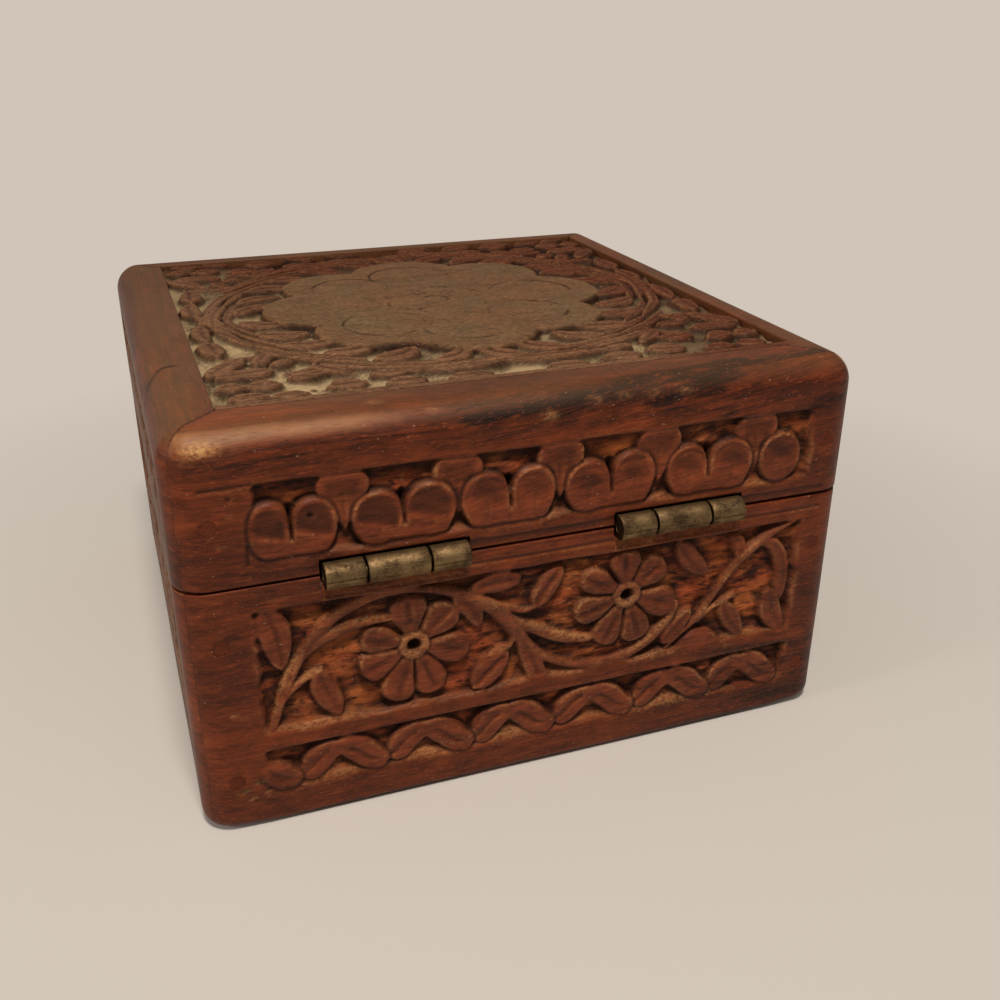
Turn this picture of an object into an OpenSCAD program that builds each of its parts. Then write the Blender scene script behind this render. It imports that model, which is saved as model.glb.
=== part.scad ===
// Carved hardwood keepsake box with a lid on two small brass butt hinges.
// Millimetres. The origin is the middle of the underside, +Z is up, the box opens
// towards -Y, and the hinges are on the back face, at +Y. Left and right are as
// seen from the front. The closed box was made as one case and sawn apart at the seam.

/* [Case] */
// Width of the case, left to right
box_w = 101.6; // [80:0.1:160]
// Depth of the case, front to back, without the hinge barrels
box_d = 101.6; // [80:0.1:160]
// Height of the closed case
box_h = 60.5; // [56:0.1:90]
// Rounding of the four upright edges
corner_r = 4.4; // [1:0.1:6]
// Rounding of the four top edges
top_edge_r = 4.6; // [1:0.1:6]
// Rounding of the bottom edges at the left and right ends
end_edge_r = 3.6; // [0.5:0.1:5]
// Rounding of the bottom edges at the front and back
foot_edge_r = 1.2; // [0.4:0.1:4]

/* [Boards] */
// Thickness of the four wall boards
wall_t = 10.4; // [9.4:0.1:14]
// Thickness of the top panel
top_t = 7; // [4:0.1:9]
// Thickness of the floor panel
floor_t = 6; // [3:0.1:8]
// How far the floor panel is let into the walls
floor_lap = 4; // [2:0.1:4.2]
// Plain border beside the top panel at the left
border_left = 6.6; // [5.5:0.1:9.2]
// Plain border beside the top panel at the right
border_right = 8.4; // [5.5:0.1:9.2]
// Plain border beside the top panel at the front
border_front = 6.6; // [5.5:0.1:9.2]
// Plain border beside the top panel at the back
border_back = 8.4; // [5.5:0.1:9.2]
// Glue line round a panel in its rabbet
panel_gap = 0.1; // [0.05:0.01:0.3]

/* [Seam] */
// Height of the sawn rim of the body
seam_z = 38.6; // [34:0.1:44]
// Width of the saw kerf between the rims
kerf = 0.4; // [0.3:0.05:1]

/* [Hinges] */
// Length of one hinge
hinge_len = 20.2; // [15:0.1:24]
// Distance between the middles of the two hinges
hinge_pitch = 43; // [36:0.1:52]
// Diameter of the hinge barrel
barrel_d = 3.8; // [3:0.1:4.4]
// How far the hinge axis stands proud of the back face
axis_proud = 0.4; // [0.2:0.05:1]
// Length of the middle knuckle, which belongs to the lid
mid_knuckle = 8.6; // [5:0.1:10]
// End play between two knuckles
knuckle_gap = 0.3; // [0.3:0.05:0.6]
// Thickness of a leaf
leaf_t = 0.9; // [0.6:0.05:1.2]
// Width of a leaf, from the axis to its free edge
leaf_w = 8; // [7:0.1:8.8]
// Diameter of the hinge pin
pin_d = 1.4; // [1:0.05:1.8]
// Clearance round the pin, on the radius
pin_fit = 0.05; // [0.02:0.01:0.1]
// Gap between the barrel and the wood that it is let into
barrel_gap = 0.4; // [0.3:0.05:1]

/* [Screws and nails] */
// Diameter of a screw's shank
screw_d = 1.6; // [1.2:0.1:2]
// Diameter of a screw's countersunk head
screw_head_d = 3; // [2.4:0.1:3.6]
// Length of a screw
screw_len = 7; // [5:0.5:9]
// Distance between the two screws of one leaf
screw_pitch = 12; // [8:0.1:13]
// Diameter of a corner nail
nail_d = 1.5; // [1:0.1:2]
// Length of a corner nail
nail_len = 18; // [12:0.5:24]
// Height of the upper nails of the body
nail_high_z = 30.3; // [24:0.1:31]
// Height of the lower nails of the body above the floor panel
nail_low_rise = 2.2; // [1.2:0.1:5]
// Height of the lid's nails above the seam
nail_lid_rise = 8.8; // [6:0.1:9.6]
// Diameter of the filler plug over a nail
plug_d = 2.6; // [2.2:0.1:3.6]
// Depth of the filler plug
plug_t = 1.2; // [0.8:0.1:2]
// Clearance round screws, nails and plugs, on the radius
bore_fit = 0.04; // [0.02:0.01:0.1]

/* [Sunk fields] */
// Depth of the sunk ground of the side fields
side_sink = 1.3; // [0.6:0.1:2]
// Depth of the sunk ground of the top field
top_sink = 1.4; // [0.6:0.1:2]
// Plain margin at each end of the side fields
field_margin = 9.2; // [7:0.1:14]
// Bottom of the leaf border, above the underside
border_z = 5.3; // [4:0.1:6.4]
// Height of the leaf border
border_h = 7.1; // [4:0.1:7.4]
// Height of the plain rib between the leaf border and the main field
rib_h = 2.6; // [1.5:0.1:4]
// Plain strip between the main field and the body's rim
body_strip = 4; // [3:0.1:6]
// Plain strip between the lid's rim and its band
lid_strip = 3; // [2.6:0.1:5]
// Plain strip between the lid's band and the top
crown_strip = 7.6; // [6:0.1:9]
// Plain border of the top panel beside the back rail
panel_margin = 1.9; // [0.5:0.1:4]

/* [Hidden] */
$fn = 96;

// The lid's rim, the hinge axis and the side of each hinge
lid_z = seam_z + kerf;
axis_y = box_d / 2 + axis_proud;
axis_z = seam_z + kerf / 2;
left_side = -1;
right_side = 1;

// Heights of the sunk fields
main_z = border_z + border_h + rib_h;
main_top = seam_z - body_strip;
band_z = lid_z + lid_strip;
band_top = box_h - crown_strip;

// Turn of a wall about Z, counted from the back
back_turn = 0;
left_turn = 90;
front_turn = 180;
right_turn = 270;

// Half of the middle knuckle, the notch that the barrel is let into, and the pin's bore
mid_half = mid_knuckle / 2;
notch_d = barrel_d + 2 * barrel_gap;
bore_d = pin_d + 2 * pin_fit;

// Where the screws and nails go
screw_y = axis_y - leaf_w * 0.62;
head_t = leaf_t * 0.9;
nail_inset = wall_t / 2;
body_nail_heights = [floor_t + nail_low_rise, nail_high_z];
lid_nail_heights = [lid_z + nail_lid_rise];

// Longer than any cut has to be
over = 1;

// Colours
wood = [0.40, 0.19, 0.12];
panel_wood = [0.43, 0.29, 0.20];
inner_wood = [0.36, 0.20, 0.13];
brass = [0.50, 0.43, 0.25];
steel = [0.35, 0.33, 0.31];
filler = [0.30, 0.15, 0.10];

// Rectangle w x h in the first quadrant, with its own radius at the low and high corners
module rounded_profile(w, h, low_r, high_r) {
    translate([low_r, 0]) square([w - 2 * low_r, h / 2]);
    translate([0, low_r]) square([w, h - low_r - high_r]);
    translate([high_r, h / 2]) square([w - 2 * high_r, h / 2]);
    for (x = [low_r, w - low_r]) translate([x, low_r]) circle(low_r);
    for (x = [high_r, w - high_r]) translate([x, h - high_r]) circle(high_r);
}

// Outside of the closed case: its plan, front view and side view, each with round corners
module case_outline() {
    intersection() {
        translate([-box_w / 2, -box_d / 2, 0])
            linear_extrude(box_h) rounded_profile(box_w, box_d, corner_r, corner_r);
        translate([-box_w / 2, box_d / 2, 0])
            rotate([90, 0, 0])
                linear_extrude(box_d) rounded_profile(box_w, box_h, end_edge_r, top_edge_r);
        translate([-box_w / 2, -box_d / 2, 0])
            rotate([90, 0, 90])
                linear_extrude(box_w) rounded_profile(box_d, box_h, foot_edge_r, top_edge_r);
    }
}

// Length of a wall and distance of its outer face from the middle, at a turn about Z
function wall_run(turn) = turn % 180 == 0 ? box_w : box_d;
function wall_out(turn) = (turn % 180 == 0 ? box_d : box_w) / 2;

// Mitred board between two heights, cut to the case's outline
module mitred_board(turn, low, high) {
    half = wall_run(turn) / 2;
    out = wall_out(turn);
    mitred_plan = [
        [-half - over, out + over],
        [half + over, out + over],
        [half - wall_t, out - wall_t],
        [wall_t - half, out - wall_t],
    ];
    intersection() {
        case_outline();
        translate([0, 0, low])
            rotate([0, 0, turn])
                linear_extrude(high - low) polygon(mitred_plan);
    }
}

// Sunk field on the outer face of a wall, between two heights
module sunk_field(turn, low, high) {
    run = wall_run(turn) - 2 * field_margin;
    rotate([0, 0, turn])
        translate([-run / 2, wall_out(turn) - side_sink, low])
            cube([run, side_sink + over, high - low]);
}

// The two sunk fields of a body wall
module body_fields(turn) {
    sunk_field(turn, border_z, border_z + border_h);
    sunk_field(turn, main_z, main_top);
}

// Space of the floor panel in its rabbet, less a gap all round, reaching past the underside
module floor_space(gap, past) {
    w = box_w - 2 * (wall_t - floor_lap) - 2 * gap;
    d = box_d - 2 * (wall_t - floor_lap) - 2 * gap;
    translate([-w / 2, -d / 2, -past]) cube([w, d, floor_t + past]);
}

// Space of the top panel in its rabbet, less a gap all round, reaching past the top
module top_space(gap, past) {
    w = box_w - border_left - border_right - 2 * gap;
    d = box_d - border_front - border_back - 2 * gap;
    translate([border_left - box_w / 2 + gap, border_front - box_d / 2 + gap, box_h - top_t])
        cube([w, d, top_t + past]);
}

// Bores of the corner nails and their plugs, driven in from the front and the back
module nail_bores(heights) {
    for (end = [-1, 1], side = [-1, 1], z = heights)
        translate([end * (box_w / 2 - nail_inset), side * box_d / 2, z])
            rotate([side * 90, 0, 0]) {
                cylinder(d = nail_d + 2 * bore_fit, h = plug_t + nail_len + bore_fit);
                translate([0, 0, -over]) cylinder(d = plug_d + 2 * bore_fit, h = plug_t + over);
            }
}

// Notches round the barrels, open to the back
module barrel_notches() {
    for (side = [left_side, right_side])
        translate([side * hinge_pitch / 2, axis_y, axis_z])
            rotate([0, 90, 0])
                cylinder(d = notch_d, h = hinge_len + 2 * barrel_gap, center = true);
}

// Shallow mortises that the leaves lie in, between two heights
module leaf_mortises(low, high) {
    for (side = [left_side, right_side])
        translate([side * hinge_pitch / 2 - hinge_len / 2 - bore_fit, axis_y - leaf_w - bore_fit, low])
            cube([hinge_len + 2 * bore_fit, leaf_w + over, high - low]);
}

// Places of the four screws in one rim
module at_screws(z) {
    for (side = [left_side, right_side], along = [-1, 1])
        translate([side * hinge_pitch / 2 + along * screw_pitch / 2, screw_y, z])
            children();
}

module countersunk(extra) {
    cylinder(d = screw_d + 2 * extra, h = screw_len + extra);
    cylinder(d1 = screw_head_d + 2 * extra, d2 = screw_d + 2 * extra, h = head_t);
}

module body_wall(turn) {
    difference() {
        mitred_board(turn, -over, seam_z);
        floor_space(0, over);
        body_fields(turn);
        nail_bores(body_nail_heights);
    }
}

module lid_rail(turn) {
    difference() {
        mitred_board(turn, lid_z, box_h + over);
        top_space(0, over);
        sunk_field(turn, band_z, band_top);
        nail_bores(lid_nail_heights);
    }
}

module body_front_wall() {
    color(wood) body_wall(front_turn);
}

module body_back_wall() {
    color(wood)
        difference() {
            body_wall(back_turn);
            leaf_mortises(seam_z - leaf_t, seam_z + over);
            barrel_notches();
            at_screws(seam_z) mirror([0, 0, 1]) countersunk(bore_fit);
        }
}

module body_left_wall() {
    color(wood) body_wall(left_turn);
}

module body_right_wall() {
    color(wood) body_wall(right_turn);
}

module body_floor() {
    color(inner_wood) floor_space(panel_gap, 0);
}

module lid_front_rail() {
    color(wood) lid_rail(front_turn);
}

module lid_back_rail() {
    color(wood)
        difference() {
            lid_rail(back_turn);
            leaf_mortises(lid_z - over, lid_z + leaf_t);
            barrel_notches();
            at_screws(lid_z) countersunk(bore_fit);
        }
}

module lid_left_rail() {
    color(wood) lid_rail(left_turn);
}

module lid_right_rail() {
    color(wood) lid_rail(right_turn);
}

// The panel's field runs to the joint on three sides and stops short of the back rail
module lid_top_panel() {
    color(panel_wood)
        difference() {
            top_space(panel_gap, 0);
            translate([-box_w / 2, -box_d / 2, box_h - top_sink])
                cube([box_w, box_d - border_back - panel_margin, top_sink + over]);
        }
}

// Stretch of the barrel, bored for the pin
module knuckle(from, to) {
    translate([from, axis_y, axis_z])
        rotate([0, 90, 0])
            difference() {
                cylinder(d = barrel_d, h = to - from);
                translate([0, 0, -over]) cylinder(d = bore_d, h = to - from + 2 * over);
            }
}

// Plate of a leaf on a rim, with its countersunk holes. up is 1 on the lid and -1 on the body.
// Its root runs into the knuckles and stops short of the pin.
module leaf_plate(side, up) {
    root = (bore_d + barrel_d) / 4;
    near = axis_z + up * kerf / 2;
    low = up > 0 ? near : near - leaf_t;
    middle = side * hinge_pitch / 2;
    difference() {
        translate([middle - hinge_len / 2, axis_y - leaf_w, low])
            cube([hinge_len, leaf_w - root, leaf_t]);
        for (along = [-1, 1])
            translate([middle + along * screw_pitch / 2, screw_y, near])
                mirror([0, 0, up > 0 ? 0 : 1]) {
                    countersunk(bore_fit);
                    translate([0, 0, -over]) cylinder(d = screw_head_d + 2 * bore_fit, h = over);
                }
    }
}

// Room for the other leaf's knuckles, which turn past this leaf's root
module knuckle_room(side, from, to) {
    translate([side * hinge_pitch / 2 + from, axis_y, axis_z])
        rotate([0, 90, 0])
            cylinder(d = notch_d, h = to - from);
}

// The body's leaf carries the two outer knuckles
module body_leaf(side) {
    middle = side * hinge_pitch / 2;
    color(brass)
        difference() {
            union() {
                leaf_plate(side, -1);
                knuckle(middle - hinge_len / 2, middle - mid_half - knuckle_gap);
                knuckle(middle + mid_half + knuckle_gap, middle + hinge_len / 2);
            }
            knuckle_room(side, -mid_half - knuckle_gap, mid_half + knuckle_gap);
        }
}

// The lid's leaf carries the middle knuckle
module lid_leaf(side) {
    middle = side * hinge_pitch / 2;
    color(brass)
        difference() {
            union() {
                leaf_plate(side, 1);
                knuckle(middle - mid_half, middle + mid_half);
            }
            knuckle_room(side, -hinge_len / 2 - over, -mid_half);
            knuckle_room(side, mid_half, hinge_len / 2 + over);
        }
}

module hinge_pin(side) {
    color(brass)
        translate([side * hinge_pitch / 2, axis_y, axis_z])
            rotate([0, 90, 0])
                cylinder(d = pin_d, h = hinge_len, center = true);
}

module left_hinge_body_leaf() {
    body_leaf(left_side);
}

module left_hinge_lid_leaf() {
    lid_leaf(left_side);
}

module left_hinge_pin() {
    hinge_pin(left_side);
}

module right_hinge_body_leaf() {
    body_leaf(right_side);
}

module right_hinge_lid_leaf() {
    lid_leaf(right_side);
}

module right_hinge_pin() {
    hinge_pin(right_side);
}

module body_hinge_screws() {
    color(brass) at_screws(seam_z) mirror([0, 0, 1]) countersunk(0);
}

module lid_hinge_screws() {
    color(brass) at_screws(lid_z) countersunk(0);
}

module corner_nails(heights) {
    for (end = [-1, 1], side = [-1, 1], z = heights)
        translate([end * (box_w / 2 - nail_inset), side * (box_d / 2 - plug_t), z])
            rotate([side * 90, 0, 0]) cylinder(d = nail_d, h = nail_len);
}

// Plugs over the nails, dressed off with the face of the board
module nail_plugs(heights) {
    intersection() {
        case_outline();
        for (end = [-1, 1], side = [-1, 1], z = heights)
            translate([end * (box_w / 2 - nail_inset), side * (box_d / 2 + over), z])
                rotate([side * 90, 0, 0]) cylinder(d = plug_d, h = plug_t + over);
    }
}

module body_corner_nails() {
    color(steel) corner_nails(body_nail_heights);
}

module lid_corner_nails() {
    color(steel) corner_nails(lid_nail_heights);
}

module body_nail_plugs() {
    color(filler) nail_plugs(body_nail_heights);
}

module lid_nail_plugs() {
    color(filler) nail_plugs(lid_nail_heights);
}

body_front_wall();
body_back_wall();
body_left_wall();
body_right_wall();
body_floor();
lid_front_rail();
lid_back_rail();
lid_left_rail();
lid_right_rail();
lid_top_panel();
left_hinge_body_leaf();
left_hinge_lid_leaf();
left_hinge_pin();
right_hinge_body_leaf();
right_hinge_lid_leaf();
right_hinge_pin();
body_hinge_screws();
lid_hinge_screws();
body_corner_nails();
lid_corner_nails();
body_nail_plugs();
lid_nail_plugs();
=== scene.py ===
import math
from types import SimpleNamespace

import bmesh
import bpy
import numpy as np
from mathutils import Euler, Matrix, Vector


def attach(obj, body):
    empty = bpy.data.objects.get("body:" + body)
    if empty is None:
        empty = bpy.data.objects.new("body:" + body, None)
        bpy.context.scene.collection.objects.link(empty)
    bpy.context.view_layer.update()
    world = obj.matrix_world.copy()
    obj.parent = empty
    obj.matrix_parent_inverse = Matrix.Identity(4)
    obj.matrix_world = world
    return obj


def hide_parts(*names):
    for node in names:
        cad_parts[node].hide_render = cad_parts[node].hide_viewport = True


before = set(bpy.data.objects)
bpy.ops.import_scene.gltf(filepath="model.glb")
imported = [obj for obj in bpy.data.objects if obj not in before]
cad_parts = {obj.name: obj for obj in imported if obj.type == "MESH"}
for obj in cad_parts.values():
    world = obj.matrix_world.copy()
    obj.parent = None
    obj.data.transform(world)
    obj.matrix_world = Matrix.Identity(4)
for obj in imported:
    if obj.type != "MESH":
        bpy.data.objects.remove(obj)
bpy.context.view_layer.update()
print("frame loaded with", len(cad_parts), "nodes")

mm = 0.001

# lengths in mm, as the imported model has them
case = {
    "half": 50.8,
    "height": 60.5,
    "cornerRound": 4.4,
    "topRound": 4.6,
    "footRound": 1.2,  # under the front and the back
    "endRound": 3.6,  # under the left and the right
    "cornerFoot": 2.2,  # where the two meet at a mitre
    "wall": 10.4,
    "floor": 6.0,
    "floorEdge": 6.4,
    "seam": 38.6,
    "lidLow": 39.0,
    "panelLow": 53.5,
    "mitreGap": 0.02,
    "borders": {"front": 6.6, "back": 8.4, "left": 6.6, "right": 8.4},
    "facing": {"right": 0, "back": 90, "left": 180, "front": 270},  # degrees of each side's outward direction
}


# carving: heights in mm over a face, u to the right and w up as seen from outside

def ease(t):
    t = np.clip(t, 0, 1)
    return t * t * (3 - 2 * t)


def curve(points, steps=8):
    p = np.array([points[0], *points, points[-1]], float)
    t = np.linspace(0, 1, steps, endpoint=False)[:, None]
    out = []
    for a, b, c, d in zip(p, p[1:], p[2:], p[3:]):  # Catmull-Rom
        out.append(0.5 * (2 * b + (c - a) * t + (2 * a - 5 * b + 4 * c - d) * t**2
                          + (3 * b - a - 3 * c + d) * t**3))
    return np.vstack([*out, p[-1:]])


def facePitch(face):
    return np.median(np.diff(face.w)), np.median(np.diff(face.u))


def frequencies(shape, pitch):
    return np.fft.fftfreq(shape[0], pitch[0])[:, None], np.fft.rfftfreq(shape[1], pitch[1])[None, :]


def blur(field, pitch, radius):
    pad = int(3 * radius / min(pitch)) + 2
    wide = np.pad(field, pad, mode="reflect")
    fz, fx = frequencies(wide.shape, pitch)
    soft = np.fft.rfft2(wide) * np.exp(-2 * (np.pi * radius) ** 2 * (fz**2 + fx**2))
    return np.fft.irfft2(soft, wide.shape)[pad:-pad, pad:-pad]


def roughness(face, along, across, rng):
    # smooth random field, longer along the grain than across it
    shape = face.h.shape
    fz, fx = frequencies(shape, facePitch(face))
    noise = np.fft.rfft2(rng.standard_normal(shape))
    soft = np.fft.irfft2(noise * np.exp(-2 * np.pi**2 * ((fz * across) ** 2 + (fx * along) ** 2)), shape)
    return soft / soft.std()


def makeFace(u, w, wall=0.28):
    face = SimpleNamespace(u=u, w=w, wall=wall)  # wall: width of the cut edges, mm
    for layer in ("h", "ground", "tan", "dark", "fresh"):
        setattr(face, layer, np.zeros((len(w), len(u))))
    return face


def window(face, low, high):
    cols = slice(*np.searchsorted(face.u, (low[0], high[0])))
    rows = slice(*np.searchsorted(face.w, (low[1], high[1])))
    return (rows, cols), face.u[None, cols], face.w[rows, None]


def nearPath(face, path, reach):
    # distance from a path, place along it and side, over the part of the face that it reaches
    path = np.asarray(path, float)
    area, u, w = window(face, path.min(0) - reach, path.max(0) + reach)
    shape = (w.shape[0], u.shape[1])
    best, place, side = np.full(shape, 1e9), np.zeros(shape), np.ones(shape)
    for i, (a, b) in enumerate(zip(path, path[1:])):
        d = b - a
        s = np.clip(((u - a[0]) * d[0] + (w - a[1]) * d[1]) / max(d @ d, 1e-9), 0, 1)
        du, dw = u - a[0] - s * d[0], w - a[1] - s * d[1]
        dist = du * du + dw * dw
        closer = dist < best
        best = np.where(closer, dist, best)
        place = np.where(closer, i + s, place)
        side = np.where(closer, np.sign(d[0] * dw - d[1] * du), side)
    return area, np.sqrt(best), place / (len(path) - 1), side


def widthAt(t, widths):
    return np.interp(t, np.linspace(0, 1, len(widths)), widths)


def atLeast(field, value, area=...):
    field[area] = np.maximum(field[area], value)


def fill(field, mask, value, area=...):
    field[area] = np.where(mask, value, field[area])


def settle(face, area, inside, top, tan=0.0):
    # raises a shape out of the ground: inside is the depth within its outline
    ground = face.ground[area]
    rise = ease(inside / face.wall + 0.5)
    high = ground + (top - ground) * rise
    up = (high > face.h[area]) & (inside > -face.wall / 2)
    fill(face.h, up, high, area)
    fill(face.tan, up, tan * rise, area)


def outlineCut(face, area, inside, depth, width=0.2):
    cut = np.exp(-(((inside + width * 0.6) / width) ** 2))  # knife line round a shape
    face.h[area] -= depth * cut
    # painted shade and dirt in the knife line
    atLeast(face.dark, cut, area)


def stem(face, points, widths, top=-0.15, tilt=0.0, tan=0.0, roundness=0.35):
    area, dist, t, side = nearPath(face, curve(points), max(widths) + 0.8)
    half = widthAt(t, widths)
    across = dist / np.maximum(half, 0.2)
    lean = side * across
    high = top - roundness * across**2 * 0.6 + tilt * lean
    # painted highlight: the stem's upper side is paler, as if lit from above
    settle(face, area, half - dist, high, tan * (0.25 + 0.75 * ease(0.55 + 0.8 * lean)))


leafShape = (0.15, 0.62, 0.88, 0.99, 1.0, 0.95, 0.8, 0.52, 0.05)
bluntShape = (0.15, 0.4, 0.65, 0.85, 0.97, 1.0, 0.97, 0.88, 0.7)
wideningShape = (0.1, 0.22, 0.36, 0.52, 0.7, 0.88, 1, 1, 0.85)
lozenge = (0.3, 0.7, 0.93, 1.0, 1.0, 0.94, 0.8, 0.58, 0.25)


def leaf(face, points, half, top=-0.12, vein=0.45, shape=leafShape, flip=1, veinWidth=0.9, belly=0.12):
    area, dist, t, side = nearPath(face, curve(points), half + 0.8)
    width = np.maximum(half * widthAt(t, shape), 0.05)
    inside = width - dist
    opening = ease(t / 0.18) * ease((1 - t) / 0.16)
    lean = ease(0.5 + side * flip * dist / 0.4)
    line = np.clip(1 - dist / (veinWidth * (0.55 + 0.45 * lean)), 0, 1) * opening
    settle(face, area, inside, top - belly * np.clip(dist / width, 0, 1) ** 3 - vein * line)
    # painted shade on one wall of the vein
    fill(face.dark, inside > 0, ease(inside / 0.2) * lean * line * 0.55, area)


def flower(face, centre, petals, ring=2.35, hole=0.85, top=-0.1):
    reach = max(r for _, r, _ in petals) + 1
    area, u, w = window(face, np.array(centre) - reach, np.array(centre) + reach)
    du, dw = u - centre[0] + 0 * w, w - centre[1] + 0 * u
    radius, turn = np.hypot(du, dw), np.degrees(np.arctan2(dw, du))
    away = np.array([np.abs((turn - a + 180) % 360 - 180) for a, _, _ in petals])
    nearest = np.argmin(away, axis=0)
    order = np.sort(away, axis=0)
    between = np.radians(order[1] - order[0]) / 2 * radius  # half the way to the next petal
    for k, (angle, length, half) in enumerate(petals):
        a = np.radians(angle)
        along, across = du * np.cos(a) + dw * np.sin(a), -du * np.sin(a) + dw * np.cos(a)
        t = (along - ring * 0.7) / (length - ring * 0.7)
        tip = np.clip(1 - np.clip((t - 0.68) / 0.32, 0, 1) ** 2.4, 0, 1) ** 0.45
        width = half * 1.08 * (0.4 + 0.6 * ease(t / 0.6)) * tip
        inside = np.minimum(width - np.abs(across), between - 0.12)
        inside = np.where((nearest == k) & (t < 1.02), inside, -9)
        lean = ease(0.5 + across / 0.4)
        line = np.clip(1 - np.abs(across) / (0.5 + 0.45 * lean), 0, 1)
        line = line * ease((t - 0.1) / 0.25) * ease((1.02 - t) / 0.2)
        belly = 0.18 * np.clip(np.abs(across) / np.maximum(width, 0.2), 0, 1) ** 3
        high = top - belly - 0.42 * line - 0.25 * ease((0.45 - t) / 0.45)
        rise = ease(inside / 0.26 + 0.5)
        new = face.ground[area] + (high - face.ground[area]) * rise
        up = (new > face.h[area]) & (nearest == k)
        fill(face.h, up, new, area)
        # painted shade on one wall of each petal's vein, and a painted highlight along its rim
        fill(face.dark, up, 0.5 * line * lean, area)
        fill(face.tan, up, 0.4 * ease((0.45 - inside) / 0.4) * rise, area)
    boss = top + 0.02 - 0.25 * np.abs(radius - (ring + hole) / 2) / ring
    boss = boss - 0.45 * ease((radius - ring + 0.35) / 0.35)
    fill(face.h, radius < ring, np.maximum(boss, -1.0), area)
    drilled = ease((hole + 0.25 - radius) / 0.35)
    face.h[area] -= 1.7 * drilled
    fill(face.tan, radius < ring, 0.75 * (1 - drilled), area)
    # painted shade in the drilled hole and round the ring
    rim = np.maximum(drilled, ease(1 - np.abs(radius - ring - 0.05) / 0.3))
    fill(face.dark, radius < ring + 0.25, rim, area)


def sinkField(face, left, right, low, high, depth, rng, slope=1.2, ends=0.35):
    # cuts a field down to its ground, with a sloping lower edge and steep other edges
    u, w = face.u[None, :], face.w[:, None]
    edge = 0.12 * roughness(face, 2.5, 0.4, rng)
    ramp = slope * (1 + 0.35 * roughness(face, 2.2, 6.0, rng))
    sides = np.minimum(ease((u - left + edge) / ends), ease((right - u + edge) / ends))
    down = np.minimum(sides, ease((high - w + edge * 0.5) / 0.25))
    down = down * np.clip((w - low) / np.maximum(ramp, 0.4), 0, 1) ** 0.9
    chops = 0.4 * roughness(face, 1.8, 0.3, rng) + 0.3 * roughness(face, 0.5, 0.3, rng)
    chops = chops + 0.9 * roughness(face, 1.4, 0.8, rng)
    floor = np.minimum(-depth * down + 0.2 * down * chops, 0)
    hit = (u > left - 0.5) & (u < right + 0.5) & (w > low) & (w < high + 0.4)
    fill(face.ground, hit, floor)
    fill(face.h, hit, floor)
    zone = np.minimum(ease((u - left + 0.2) / 0.4), ease((right - u + 0.2) / 0.4)) * ease((w - low) / 0.8)
    atLeast(face.fresh, zone * ease((high - w + 0.2) / 0.4))
    # painted highlight on the sloping lower edge, where it faces up
    lit = down * (1 - down) * 4 * (w < low + ramp * 1.1) * (u > left) * (u < right)
    fill(face.tan, hit, np.maximum(face.tan, np.clip(lit, 0, 1) * 0.9))


def groove(face, points, depth, width, dark=0.9, lip=0.0):
    # a cut line, with painted shade in it and a painted highlight on the lip under it
    area, dist, t, side = nearPath(face, curve(points, 4), width * 3 + 0.6)
    mark = np.exp(-((dist / width) ** 2))
    face.h[area] -= depth * mark
    atLeast(face.dark, dark * mark, area)
    atLeast(face.tan, lip * np.exp(-(((dist + side * (width * 2.2)) / width) ** 2)), area)


def chip(face, x, y, wide, tall, depth, dark=0.0, tan=0.0):
    area, u, w = window(face, (x - 3, y - 3), (x + 3, y + 3))
    mark = ease(1.6 - 1.4 * np.hypot((u - x) / wide, (w - y) / tall))
    face.h[area] -= depth * mark
    face.dark[area] = np.maximum(face.dark[area] * (1 - mark * (tan > 0)), dark * mark)
    atLeast(face.tan, tan * mark, area)


def at(x, y):  # the drawing's units are thirtieths of a millimetre
    return 8 + x / 30, 35.667 - y / 30


# the vine of a side in the order it is cut: path, half width (several for a stem), height of the top,
# then a leaf's vein, outline and hand, or a stem's tilt and the strength of the painted highlight on its
# upper side
leftVine = (
    (((88, 20), (128, 150), (140, 320)), 2.2, -0.1, 0.3),
    (((95, 590), (150, 440), (205, 320), (262, 215), (340, 135), (430, 85), (530, 55), (640, 45), (760, 62),
      (880, 100), (980, 150), (1060, 210), (1120, 280), (1180, 370), (1240, 450), (1310, 515), (1400, 565),
      (1500, 592), (1570, 603), (1670, 598), (1770, 565), (1870, 495), (1940, 415), (1965, 360)),
     (0.3, 0.45, 0.6, 0.95, 0.9, 0.6, 0.5, 0.7, 1.1, 1.2, 1.1, 0.8, 0.6, 0.65, 0.7, 0.75, 0.9, 0.8, 0.3),
     -0.15, 0.0, 0.5),
    (((70, 640), (120, 450), (185, 315), (270, 228), (370, 186), (480, 165), (600, 165)),
     (0.25, 0.4, 0.8, 1.15, 1.05, 0.8, 0.6), -0.4, -0.3, 1.0),
    (((62, 640), (100, 520), (170, 430), (240, 378), (300, 355)), (0.25, 0.45, 0.6, 0.6, 0.45),
     -0.3, -0.2, 0.9),
    (((285, 362), (318, 470), (372, 592)), 1.95, -0.12, 0.25),
    (((885, 125), (960, 195), (1000, 292)), 1.45, -0.15, 0.2),
    (((960, 108), (1060, 88), (1155, 85)), 1.7, -0.12, 0.2, bluntShape),
    (((1075, 195), (1150, 232), (1215, 252), (1268, 232)), (0.4, 0.6, 0.6, 0.5), -0.6, -0.2, 0.8),
    (((1252, 245), (1310, 150), (1384, 62)), 1.75, -0.1, 0.5),
    (((1135, 290), (1150, 360), (1138, 420), (1080, 425), (1010, 460)), (0.4, 0.4, 0.45, 0.45, 0.3),
     -0.35, 0.0, 0.9),
    (((968, 598), (1040, 522), (1132, 448)), 2.2, -0.1, 0.5),
    (((1150, 310), (1205, 430), (1278, 612)), 1.6, -0.15, 0.25, wideningShape),
    (((1110, 245), (1180, 305), (1290, 372), (1400, 430), (1520, 455)), (0.4, 0.7, 1.05, 1.0, 0.7),
     -0.35, -0.3, 1.0))
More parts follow.
